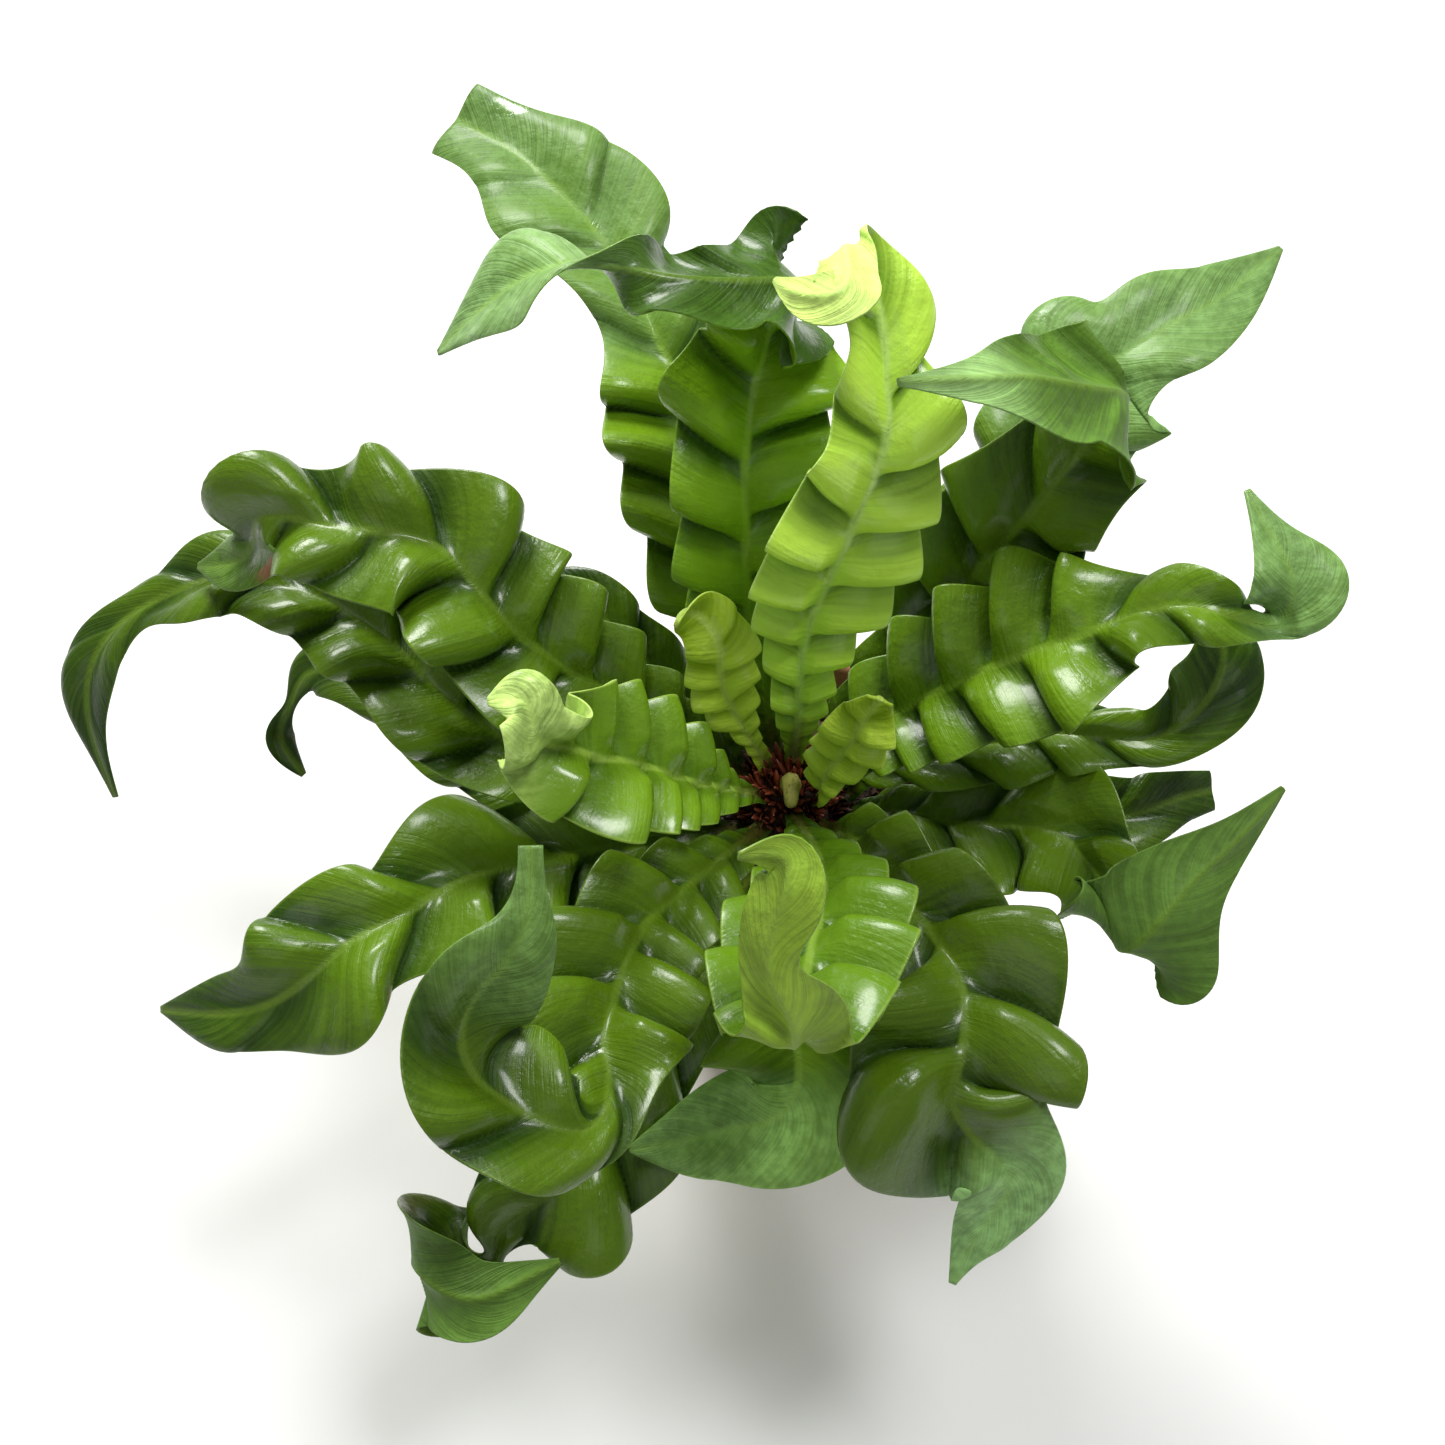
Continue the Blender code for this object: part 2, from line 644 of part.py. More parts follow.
def potting_mix(look):
    """The mix: fills the pot from the floor to just below the rim, a little higher inside."""
    floor = POT_FLOOR + FIT_GAP
    edge = pot_inner_radius(MIX_TOP - 0.002) - FIT_GAP
    low = pot_inner_radius(floor + 0.0035) - FIT_GAP
    profile = [(0.0, floor), (low - 0.0045, floor), (low, floor + 0.0045), (edge, MIX_TOP - 0.002)]
    profile += [(0.85 * edge, MIX_TOP - 0.0007), (0.5 * edge, MIX_TOP), (0.0, MIX_TOP)]
    return add_object("potting_mix", *turned(profile, 36), look)


def crown(look):
    """The crown: a dome with rows of low bumps where its scales sit."""
    rings, segments = 10, 27
    drops = np.linspace(0.0, 1.0, rings) ** 1.4 * CROWN_SHOULDER
    angles = 2 * np.pi * np.arange(segments) / segments
    points = [(0.0, 0.0, CROWN_TOP)]
    for k, drop in enumerate(drops[1:]):
        bump = 1.0 - 0.035 * (0.5 + 0.5 * np.cos(9 * angles + np.pi * (k % 2)))
        radius = crown_radius_at(drop) * bump
        height = np.full(segments, CROWN_TOP - drop)
        points += np.stack([radius * np.cos(angles), radius * np.sin(angles), height], 1).tolist()
    foot = MIX_TOP + FIT_GAP
    for radius in (CROWN_RADIUS, CROWN_RADIUS + 0.002):
        height = foot if radius > CROWN_RADIUS else foot + 0.003
        points += [(radius * np.cos(a), radius * np.sin(a), height) for a in angles]
    points.append((0.0, 0.0, foot))
    count = rings + 1
    ring = lambda k: np.arange(segments) + 1 + k * segments
    faces = [[0, int(a), int(b)] for a, b in zip(ring(0), np.roll(ring(0), -1))]
    for k in range(count - 1):
        low, high = ring(k), ring(k + 1)
        faces += quads(low, high, np.roll(high, -1), np.roll(low, -1))
    last = len(points) - 1
    faces += [[last, int(b), int(a)] for a, b in zip(ring(count - 1), np.roll(ring(count - 1), -1))]
    return add_object("crown", points, faces, look)


def crozier(look):
    """The youngest frond, still rolled up: a tube that rises from the crown and hooks over."""
    rings, segments = 18, 12
    s = np.linspace(0.0, 1.0, rings)
    bend = np.radians(-15 + 235 * s**1.6)
    step = 0.021 * (1 - 0.45 * s) / rings
    forward = np.cumsum(np.sin(bend) * step)
    height = np.cumsum(np.cos(bend) * step) - step[0]
    radius = 0.0030 * (1 - 0.50 * s) * np.minimum(1, np.sqrt((s + 0.02) / 0.12)) + 0.0002
    line = np.stack([0 * s, -0.002 - forward, CROWN_TOP + 2 * FIT_GAP + height], axis=1)
    tangent = unit(np.gradient(line, axis=0))
    side = np.array([1.0, 0.0, 0.0])
    normal = np.cross(tangent, side)
    turn = 2 * np.pi * np.arange(segments) / segments
    ring = np.cos(turn)[None, :, None] * side + np.sin(turn)[None, :, None] * normal[:, None]
    points = (line[:, None] + radius[:, None, None] * ring).reshape(-1, 3)
    index = np.arange(rings * segments).reshape(rings, segments)
    after = np.roll(index, -1, axis=1)
    faces = quads(index[:-1], after[:-1], after[1:], index[1:])
    faces.append(index[0][::-1].tolist())
    faces.append(index[-1].tolist())
    return add_object("crozier", points, faces, look)


def fronds(looks):
    """Every frond, from the topmost down. The mature ones are pressed clear of those above."""
    ceiling = np.full((CELLS, CELLS), np.inf)
    for name, age, pleats, strength, calm, phase, angle, ring, rows in FRONDS:
        stations = stations_of(angle, ring, rows)
        grid = blade(pleats, strength, calm, phase, *stations, pleat_rows(pleats), ACROSS)[0]
        if age == "mature":
            grid[..., 2] -= press_drop(grid, ceiling)
        add_to_ceiling(grid, ceiling)
        add_object(name, *solid_from_grid(grid, LEAF_THICKNESS), looks[age])


def build():
    """Clears the scene and makes every piece."""
    for old in list(bpy.data.objects):
        bpy.data.objects.remove(old, do_unlink=True)
    clay = material("terracotta", (0.56, 0.25, 0.14), 0.85)
    mix = material("potting_mix", (0.035, 0.022, 0.014), 0.95)
    scales = material("crown_scales", (0.075, 0.022, 0.012), 0.8)
    dark = material("frond_mature", (0.075, 0.165, 0.018), 0.28, 0.4)
    bright = material("frond_young", (0.27, 0.42, 0.05), 0.35, 0.3)
    bud = material("crozier", (0.42, 0.46, 0.16), 0.5)
    pot(clay)
    potting_mix(mix)
    crown(scales)
    crozier(bud)
    fronds({"mature": dark, "young": bright, "small": bright})


build()
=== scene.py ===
"""Looks of the potted wavy bird's nest fern: fronds, crown, mix, pot, light and camera."""

import bpy
import numpy as np
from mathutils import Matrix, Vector


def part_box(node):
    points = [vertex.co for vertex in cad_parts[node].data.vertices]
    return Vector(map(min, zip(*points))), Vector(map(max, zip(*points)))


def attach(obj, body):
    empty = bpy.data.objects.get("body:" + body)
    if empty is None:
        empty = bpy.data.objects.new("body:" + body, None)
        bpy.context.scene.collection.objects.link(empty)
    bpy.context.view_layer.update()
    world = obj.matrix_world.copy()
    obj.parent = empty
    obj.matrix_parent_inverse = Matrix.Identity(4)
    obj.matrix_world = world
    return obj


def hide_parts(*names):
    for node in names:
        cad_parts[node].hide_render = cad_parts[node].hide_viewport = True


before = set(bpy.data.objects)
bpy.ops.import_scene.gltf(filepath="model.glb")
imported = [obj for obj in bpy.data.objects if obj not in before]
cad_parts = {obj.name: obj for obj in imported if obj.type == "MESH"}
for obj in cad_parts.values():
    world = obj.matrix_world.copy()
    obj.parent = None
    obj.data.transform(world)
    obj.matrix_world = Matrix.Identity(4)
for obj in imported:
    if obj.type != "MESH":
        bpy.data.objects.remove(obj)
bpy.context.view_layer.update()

# Sizes of the plant and pot, in metres, as the solids have them. PLEAT_PACE is the power of the
# length by which pleats are counted.
PLANT_SPREAD = 0.369
FROND_RISE = 0.180
LEAF_THICKNESS = 0.0010
PLEAT_DEPTH = 0.0045
PLEAT_PACE = 0.6
STEM_WIDTH = 0.0060
STEM_LEAD = 0.0040
CROWN_RADIUS = 0.016
CROWN_SHOULDER = 0.022
CROWN_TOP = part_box("crown")[1].z
MIX_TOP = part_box("potting_mix")[1].z
POT_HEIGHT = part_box("pot")[1].z
POT_RIM = 0.124
POT_BASE = 0.084
POT_WALL = 0.0045
POT_FLOOR = 0.0070
RIM_BAND = 0.024
RIM_STEP = 0.0030
FIT_GAP = 0.0003
LAYER_GAP = 0.0035
NOMINAL_SPREAD = 0.369
NOMINAL_RISE = 0.180
NOMINAL_CROWN = 0.032
NOMINAL_DEPTH = 0.0045
RING_DROPS = (0.0032, 0.0085, 0.0145, 0.0210)
DRAIN_HOLE = 0.0090
DRAIN_RING = 0.044
DRAIN_HOLES = 3
POT_ROUNDING = 0.0024
THROWING_RING = 0.00012
FLOOR_MIDDLE = 0.012

# The grids: plan cells of the ceiling, widths across a coarse frond, and rows and columns of a
# fine one.
CELL = 0.002
CELLS = 280
COARSE = np.array([-1.0, -0.55, 0.0, 0.55, 1.0])
FINE_ROWS = {"mature": 230, "young": 230, "small": 150}
FINE_COLUMNS = 53
MIDRIB_POINTS = 601

# Pressing: it is measured in full past the second distance from the crown's top, not at all
# nearer than the first, and it fades in between the next two. A frond that would have to go down
# by more than the limit passes above instead.
PRESS_FROM, PRESS_FULL = 0.018, 0.030
FADE_FROM, FADE_FULL = 0.017, 0.025
PRESS_LIMIT = 0.030
PRESS_CELLS = 3

# The midrib's height above and below the leaf, and its breadth.
RIB_ABOVE, RIB_BELOW, RIB_BREADTH = 0.00018, 0.0011, 0.0011

# Counts and sizes of the small things on the crown and the mix, and the angle of a sharp edge.
SCALES = 460
BUD_LENGTH, BUD_RADIUS = 0.021, 0.0033
MIX_FALL = 0.0012
GOLDEN_ANGLE = np.pi * (3 - np.sqrt(5))
SHARP_ANGLE = np.radians(40)
CHANCE = np.random.default_rng(7)

# Grain of the leaf, in ripples per metre.
VEINS, STREAKS, PATCHES, PUCKERS, PORES = 1150.0, 420.0, 42.0, 260.0, 750.0

# Colours, linear. A pair runs from the low end of its pattern to the high one.
BURNT = (0.26, 0.12, 0.055, 1)
STALK = (0.060, 0.018, 0.010, 1)
SCALE_COLOURS = (0.010, 0.002, 0.001, 1), (0.260, 0.055, 0.022, 1)
CROWN_COLOURS = (0.008, 0.002, 0.001, 1), (0.050, 0.014, 0.006, 1)
BUD_COLOURS = (0.560, 0.520, 0.130, 1), (0.240, 0.120, 0.035, 1)
CLAY_COLOURS = (0.42, 0.155, 0.075, 1), (0.60, 0.275, 0.150, 1)
CLAY_BLOOM = (0.72, 0.56, 0.44, 1)
CLAY_BOTTOM = (0.24, 0.085, 0.045, 1)
CLAY_SPECK = (0.25, 0.12, 0.08, 1)
MIX_COLOURS = (0.010, 0.006, 0.004, 1), (0.060, 0.034, 0.020, 1)
FLOOR_PALE = (0.93, 0.93, 0.93, 1)
ROOM = (0.96, 1.0, 0.92, 1)

# Crumbs on the mix: name, how many, size, length in sizes, and two colours.
CRUMBS = (
    ("bark_crumbs", 900, 0.0014, 2.2, (0.020, 0.010, 0.006, 1), (0.140, 0.065, 0.032, 1)),
    ("white_grains", 130, 0.0011, 1.0, (0.55, 0.53, 0.48, 1), (0.80, 0.79, 0.75, 1)),
)

# Studio: lights as name, place, size, power and colour, all aimed at one point.
LIGHTS = (
    ("window", (-0.8, 2.2, 1.9), 1.0, 95.0, (1.0, 1.0, 0.97)),
    ("overhead", (0.7, 0.5, 2.6), 0.7, 42.0, (1.0, 1.0, 1.0)),
    ("front_fill", (-0.9, -1.8, 2.0), 1.4, 5.0, (1.0, 1.0, 1.0)),
)
LIGHTS_AIM = (0.0, 0.0, 0.18)
ROOM_LIGHT = 0.22
FLOOR_REACH = 3.0
LENS, SENSOR_WIDTH = 50.0, 36.0
CAMERA_X, CAMERA_Y, CAMERA_RISE = -0.0205, -0.2308, 0.5650
CAMERA_TILT = np.radians(24.0)

# Each frond: name, age, number of pleats, pleat strength, share of the length past which the
# pleats die away, where the first pleat falls, compass angle of its stalk in degrees, ring of the
# crown it leaves from, and stations from stalk to tip. A station is x, y, z from the crown's top,
# half width (all in mm) and roll in degrees.
FRONDS = [
    ("front_young", "young", 10, 1.20, 0.60, 0.30, 278, 0, [
        (6, -28, 20, 9, 5), (7, -50, 46, 16, 5), (4, -68, 66, 22, 10), (0, -85, 82, 23, 10),
        (-3, -99, 98, 21, 10), (-4, -110, 110, 16, 5), (-5, -108, 126, 12, 0),
        (-10, -101, 138, 7, 10), (-9, -93, 147, 8, 20), (-6, -85, 154, 8, 25),
        (-7, -81, 156, 6, 15), (-17, -82, 160, 1, 15),
    ]),
    ("back_young", "young", 13, 1.00, 0.70, 0.50, 82, 0, [
        (2, 13, 24, 7, -15), (2, 18, 50, 10, -10), (6, 24, 76, 17, -10), (12, 28, 100, 20, -10),
        (17, 34, 118, 18, -10), (21, 41, 132, 17, -20), (20, 49, 143, 15, -30),
        (19, 58, 152, 12, -40), (16, 65, 160, 11, -45), (10, 71, 168, 8, -30), (9, 60, 177, 7, 35),
        (7, 50, 180, 8, 30), (0, 51, 177, 6, 40), (-8, 60, 171, 1, 40),
    ]),
    ("right_young", "small", 8, 1.00, 0.80, 0.10, 338, 0, [
        (9, -6, 14, 5, -55), (13, -4, 30, 8, -80), (17, -3, 44, 10, -100), (20, -1, 56, 8, -105),
        (23, 0, 63, 4, -110),
    ]),
    ("small_young", "small", 9, 0.55, 0.60, 0.10, 136, 0, [
        (-12, 9, 14, 3, 30), (-18, 11, 34, 8, 30), (-21, 13, 52, 10, 35), (-22, 16, 66, 10, 25),
        (-27, 19, 76, 8, 15), (-31, 16, 83, 6, 20), (-33, 11, 86, 1, 20),
    ]),
    ("left_young", "young", 10, 1.30, 0.75, 0.50, 197, 0, [
        (-20, -7, 14, 7, 10), (-33, -12, 34, 15, 10), (-45, -15, 52, 19, 15),
        (-56, -19, 67, 20, 25), (-64, -21, 79, 16, 50), (-68, -24, 90, 13, 75),
        (-69, -23, 98, 10, 65), (-71, -19, 102, 9, 70), (-80, -19, 102, 1, 70),
    ]),
    ("right_high", "mature", 12, 1.00, 0.60, 0.30, 14, 1, [
        (19, 6, 12, 8, -10), (33, 11, 32, 18, -5), (47, 11, 50, 21, -5), (61, 12, 64, 24, -5),
        (73, 12, 74, 26, 0), (84, 13, 82, 18, 5), (93, 14, 88, 14, 15), (103, 13, 92, 11, 5),
        (113, 11, 92, 8, -10), (129, 12, 84, 6, 40), (131, 18, 92, 14, -25), (126, 29, 98, 8, -45),
        (119, 43, 102, 1, -45),
    ]),
    ("back_right_fold", "mature", 11, 1.00, 0.50, 0.60, 44, 1, [
        (18, 17, 14, 7, -5), (32, 27, 34, 14, -15), (45, 35, 54, 18, -15), (54, 42, 72, 22, -15),
        (64, 48, 88, 21, -15), (73, 54, 102, 17, -10), (85, 60, 118, 22, 25),
        (74, 53, 135, 20, 15), (56, 46, 150, 14, 15), (42, 40, 159, 7, 20), (21, 36, 164, 1, 20),
    ]),
    ("back_scroll", "mature", 14, 1.00, 0.50, 0.10, 108, 1, [
        (-8, 22, 22, 9, 15), (-13, 34, 50, 17, 20), (-14, 49, 76, 20, 10), (-14, 63, 95, 21, 10),
        (-11, 77, 106, 24, 5), (-6, 88, 118, 18, 0), (0, 88, 131, 20, 80), (-10, 84, 138, 18, 50),
        (-22, 81, 142, 13, 50), (-38, 80, 146, 13, 50), (-52, 83, 146, 5, 160),
        (-68, 85, 140, 15, 235), (-82, 82, 130, 11, 245), (-96, 77, 116, 1, 245),
    ]),
    ("left_high", "mature", 12, 1.00, 0.80, 0.55, 160, 1, [
        (-30, 10, 14, 8, 10), (-52, 14, 34, 15, 5), (-70, 18, 52, 21, 15), (-83, 24, 66, 24, 10),
        (-94, 35, 76, 24, 15), (-109, 41, 82, 22, 15), (-124, 41, 84, 20, 10),
        (-137, 45, 83, 17, 10), (-149, 47, 79, 16, 45), (-152, 44, 71, 11, 45),
        (-158, 42, 64, 9, 20), (-171, 45, 56, 1, 20),
    ]),
    ("front_left_curl", "mature", 12, 1.00, 0.55, 0.70, 233, 1, [
        (-18, -25, 10, 7, 10), (-33, -44, 26, 15, 10), (-43, -59, 38, 19, 5),
        (-48, -76, 48, 22, -5), (-51, -92, 54, 23, -5), (-50, -106, 57, 15, -5),
        (-50, -115, 62, 10, -10), (-55, -120, 66, 12, 30), (-70, -117, 72, 19, 25),
        (-83, -108, 79, 20, 25), (-84, -97, 87, 17, 35), (-76, -88, 95, 15, 50),
        (-69, -80, 101, 9, 60), (-67, -70, 105, 4, 75), (-67, -60, 108, 3, 80),
    ]),
    ("front_right", "mature", 9, 1.00, 0.60, 0.10, 311, 1, [
        (16, -18, 8, 8, -10), (25, -34, 22, 14, -10), (33, -52, 34, 17, -5), (41, -68, 42, 25, 5),
        (44, -83, 46, 27, 15), (42, -97, 46, 30, 20), (40, -105, 42, 30, 25),
        (47, -115, 33, 23, 25), (56, -123, 25, 15, 30), (52, -132, 16, 11, 30),
        (46, -140, 9, 5, 15), (42, -148, 4, 1, 15),
    ]),
    ("right_under", "mature", 8, 0.80, 0.60, 0.50, 8, 2, [
        (24, 5, 4, 5, -20), (48, 6, 12, 11, -10), (70, 6, 22, 13, -5), (89, 3, 30, 10, -5),
        (103, 0, 34, 8, -10), (112, 3, 41, 10, -35), (119, 10, 48, 13, -40),
        (121, 18, 54, 11, -50), (118, 29, 58, 4, -70),
    ]),
    ("front_right_fold", "mature", 8, 0.80, 0.45, 0.20, 334, 2, [
        (22, -5, -9, 4, -10), (41, -10, 7, 12, -10), (58, -16, 18, 19, -10), (73, -20, 24, 24, -5),
        (83, -31, 28, 19, -10), (87, -46, 32, 13, 5), (89, -64, 38, 23, 90), (96, -61, 47, 22, 95),
        (106, -50, 52, 14, 85), (117, -40, 54, 8, 75), (133, -24, 56, 1, 75),
    ]),
    ("back_right_far", "mature", 8, 0.70, 0.40, 0.20, 58, 2, [
        (22, 27, 4, 6, 0), (41, 44, 18, 14, -5), (59, 63, 34, 18, -10), (73, 79, 48, 21, -5),
        (84, 96, 58, 24, -5), (92, 107, 64, 26, 0), (98, 110, 67, 18, 10), (110, 117, 70, 17, 10),
        (126, 127, 70, 13, 10), (149, 149, 66, 1, 10),
    ]),
    ("back_far_left", "mature", 12, 1.00, 0.50, 0.30, 118, 2, [
        (-12, 27, 10, 7, 15), (-21, 45, 28, 14, 15), (-27, 64, 44, 18, 10), (-30, 87, 56, 24, 0),
        (-35, 105, 64, 24, 0), (-43, 121, 70, 16, -5), (-57, 145, 76, 21, -5),
        (-69, 160, 78, 24, 5), (-85, 178, 76, 16, 5), (-103, 193, 72, 13, 20),
    ]),
    ("left_low", "mature", 12, 1.00, 0.55, 0.00, 174, 2, [
        (-30, 2, 2, 8, -5), (-57, 1, 14, 15, -5), (-80, 2, 26, 18, 0), (-100, 12, 36, 22, 5),
        (-114, 24, 43, 19, 10), (-128, 34, 48, 19, 15), (-143, 40, 50, 14, 15),
        (-161, 46, 48, 13, 10), (-178, 44, 44, 12, 15), (-192, 40, 38, 7, 15),
        (-205, 31, 30, 10, 25), (-210, 19, 20, 8, 35), (-209, 9, 10, 4, 35), (-205, -3, -2, 1, 35),
    ]),
    ("front_left", "mature", 8, 1.00, 0.60, 0.20, 206, 2, [
        (-30, -14, 0, 8, 10), (-54, -23, 12, 13, 10), (-76, -32, 24, 21, 10),
        (-96, -43, 32, 23, 10), (-110, -54, 36, 18, 10), (-123, -62, 36, 20, 5),
        (-135, -71, 32, 22, 15), (-146, -76, 26, 14, 20), (-159, -77, 20, 11, 10),
        (-180, -73, 10, 1, 10),
    ]),
    ("front_low", "mature", 6, 0.45, 0.30, 0.20, 274, 2, [
        (1, -31, -8, 6, 0), (2, -55, 0, 16, 0), (0, -76, 4, 23, 5), (1, -91, 2, 26, 0),
        (-5, -101, -2, 20, -5), (-17, -104, -4, 16, -5), (-32, -107, -6, 10, 0),
        (-47, -109, -8, 1, 0),
    ]),
    ("front_under", "mature", 8, 0.80, 0.50, 0.20, 245, 3, [
        (-14, -28, -8, 6, 15), (-27, -55, -2, 10, 10), (-40, -80, 2, 15, 10),
        (-52, -100, 2, 20, 10), (-64, -117, 0, 23, 15), (-74, -125, -4, 21, 20),
        (-82, -131, -8, 12, 25), (-85, -138, -14, 3, 15), (-94, -141, -22, 16, -25),
        (-104, -138, -22, 18, -55), (-107, -140, -12, 17, -75), (-99, -148, -6, 14, -40),
        (-87, -151, -3, 11, -20), (-76, -147, -1, 6, -20), (-65, -142, 2, 1, -20),
    ]),
    ("back_low", "mature", 6, 0.60, 0.60, 0.10, 139, 3, [
        (-21, 20, 2, 7, 5), (-37, 30, 12, 11, 5), (-52, 41, 20, 11, 5), (-65, 52, 24, 10, 5),
        (-76, 60, 24, 1, 5),
    ]),
    ("right_low", "mature", 7, 0.80, 0.60, 0.40, 346, 3, [
        (26, -2, -17, 5, 5), (49, -7, -8, 12, -5), (72, -12, 2, 15, -5), (89, -13, 5, 13, -10),
        (104, -11, 6, 11, -10), (117, -6, 5, 8, -20), (127, -3, 3, 6, -20),
    ]),
    ("left_under", "mature", 8, 0.60, 0.50, 0.40, 184, 3, [
        (-34, 0, -10, 7, 5), (-58, -1, -6, 10, 5), (-89, 5, -2, 11, 10), (-115, 20, 0, 9, 15),
        (-136, 36, 0, 8, 25), (-151, 40, -6, 7, 30), (-157, 32, -12, 2, 45),
        (-161, 24, -18, 5, 100), (-154, 14, -26, 1, 100),
    ]),
]


def unit(vectors):
    """Each vector divided by its length."""
    return vectors / np.maximum(np.linalg.norm(vectors, axis=-1, keepdims=True), 1e-12)


def around(radius, turn, height):
    """Points at a radius, a turn in radians and a height."""
    flat = radius * np.cos(turn), radius * np.sin(turn), height
    return np.stack(np.broadcast_arrays(*flat), axis=-1)


def crown_radius_at(drop):
    """Radius of the crown's dome at this distance below its top."""
    below = np.clip((CROWN_SHOULDER - drop) / CROWN_SHOULDER, 0.0, 1.0)
    return CROWN_RADIUS * np.sqrt(1.0 - below**2)


def stalk_start(angle, ring):
    """The first two points of a stalk: one clearance off the crown's dome, and straight out."""
    drop = RING_DROPS[ring]
    turn = np.radians(angle)
    radius = crown_radius_at(drop)
    rise = (CROWN_SHOULDER - drop) / CROWN_SHOULDER**2
    out = radius / CROWN_RADIUS**2
    slope = unit(around(out, turn, rise))
    foot = around(radius, turn, CROWN_TOP - drop)
    return np.stack([foot + slope * FIT_GAP, foot + slope * STEM_LEAD])


def placed(plan):
    """Plan places: they follow the crown's size up to its edge and the plant's spread beyond."""
    reach = np.maximum(np.linalg.norm(plan, axis=1, keepdims=True), 1e-6)
    inside = np.minimum(reach, NOMINAL_CROWN / 2)
    beyond = (reach - inside) * PLANT_SPREAD / NOMINAL_SPREAD
    return plan / reach * (inside * CROWN_RADIUS / (NOMINAL_CROWN / 2) + beyond)


def stations_of(angle, ring, rows):
    """World positions, half widths and rolls of a frond's stations, in metres and radians."""
    rows = np.array(rows, float)
    heights = CROWN_TOP + rows[:, 2:3] * 0.001 * FROND_RISE / NOMINAL_RISE
    points = np.hstack([placed(rows[:, :2] * 0.001), heights])
    widths = rows[:, 3] * 0.001 * PLANT_SPREAD / NOMINAL_SPREAD
    rolls = np.radians(rows[:, 4])
    points = np.vstack([stalk_start(angle, ring), points])
    widths = np.concatenate([[STEM_WIDTH / 2, STEM_WIDTH / 2], widths])
    rolls = np.concatenate([[0.0, 0.0], rolls])
    return points, np.maximum(widths, 0.0005), rolls


def knots_of(points):
    """Spline parameter of each station, 0 to 1, spaced by distance to the power 0.7."""
    steps = np.linalg.norm(np.diff(points, axis=0), axis=1) ** 0.7
    knots = np.concatenate([[0.0], np.cumsum(steps)])
    return knots / knots[-1]


def spline(knots, values, at):
    """Natural cubic spline through the values at the knots, read at the parameters."""
    gaps = np.diff(knots)[:, None]
    count = len(knots)
    slopes = np.diff(values, axis=0) / gaps
    matrix = np.zeros((count, count))
    matrix[0, :2] = 2, 1
    matrix[-1, -2:] = 1, 2
    inner = np.arange(1, count - 1)
    matrix[inner, inner - 1] = gaps[1:, 0]
    matrix[inner, inner] = 2 * (gaps[1:, 0] + gaps[:-1, 0])
    matrix[inner, inner + 1] = gaps[:-1, 0]
    middle = 3 * (slopes[1:] * gaps[:-1] + slopes[:-1] * gaps[1:])
    right = np.vstack([3 * slopes[:1], middle, 3 * slopes[-1:]])
    tangents = np.linalg.solve(matrix, right)
    k = np.clip(np.searchsorted(knots, at, side="right") - 1, 0, count - 2)
    s = ((at - knots[k]) / gaps[k, 0])[:, None]
    start = (2 * s**3 - 3 * s**2 + 1) * values[k] + (s**3 - 2 * s**2 + s) * gaps[k] * tangents[k]
    end = (3 * s**2 - 2 * s**3) * values[k + 1] + (s**3 - s**2) * gaps[k] * tangents[k + 1]
    return start + end


def untwisted_frames(line):
    """Tangent, upper normal and rightward vector along a line, turning as little as they can."""
    tangents = unit(np.gradient(line, axis=0))
    outward = unit(line[0] * [1.0, 1.0, 0.0])
    up = np.array([0.0, 0.0, 1.0]) - 0.6 * outward
    normals = np.empty_like(tangents)
    normals[0] = unit(up - tangents[0] * (up @ tangents[0]))
    for i in range(len(line) - 1):
        normal = normals[i] - tangents[i + 1] * (normals[i] @ tangents[i + 1])
        normals[i + 1] = unit(normal)
    return tangents, normals, np.cross(tangents, normals)


def pleat_rows(pleats):
    """Shares of the length at which a coarse grid has its rows: three to a pleat."""
    return np.linspace(0.0, 1.0, 3 * pleats + 1) ** (1 / PLEAT_PACE)


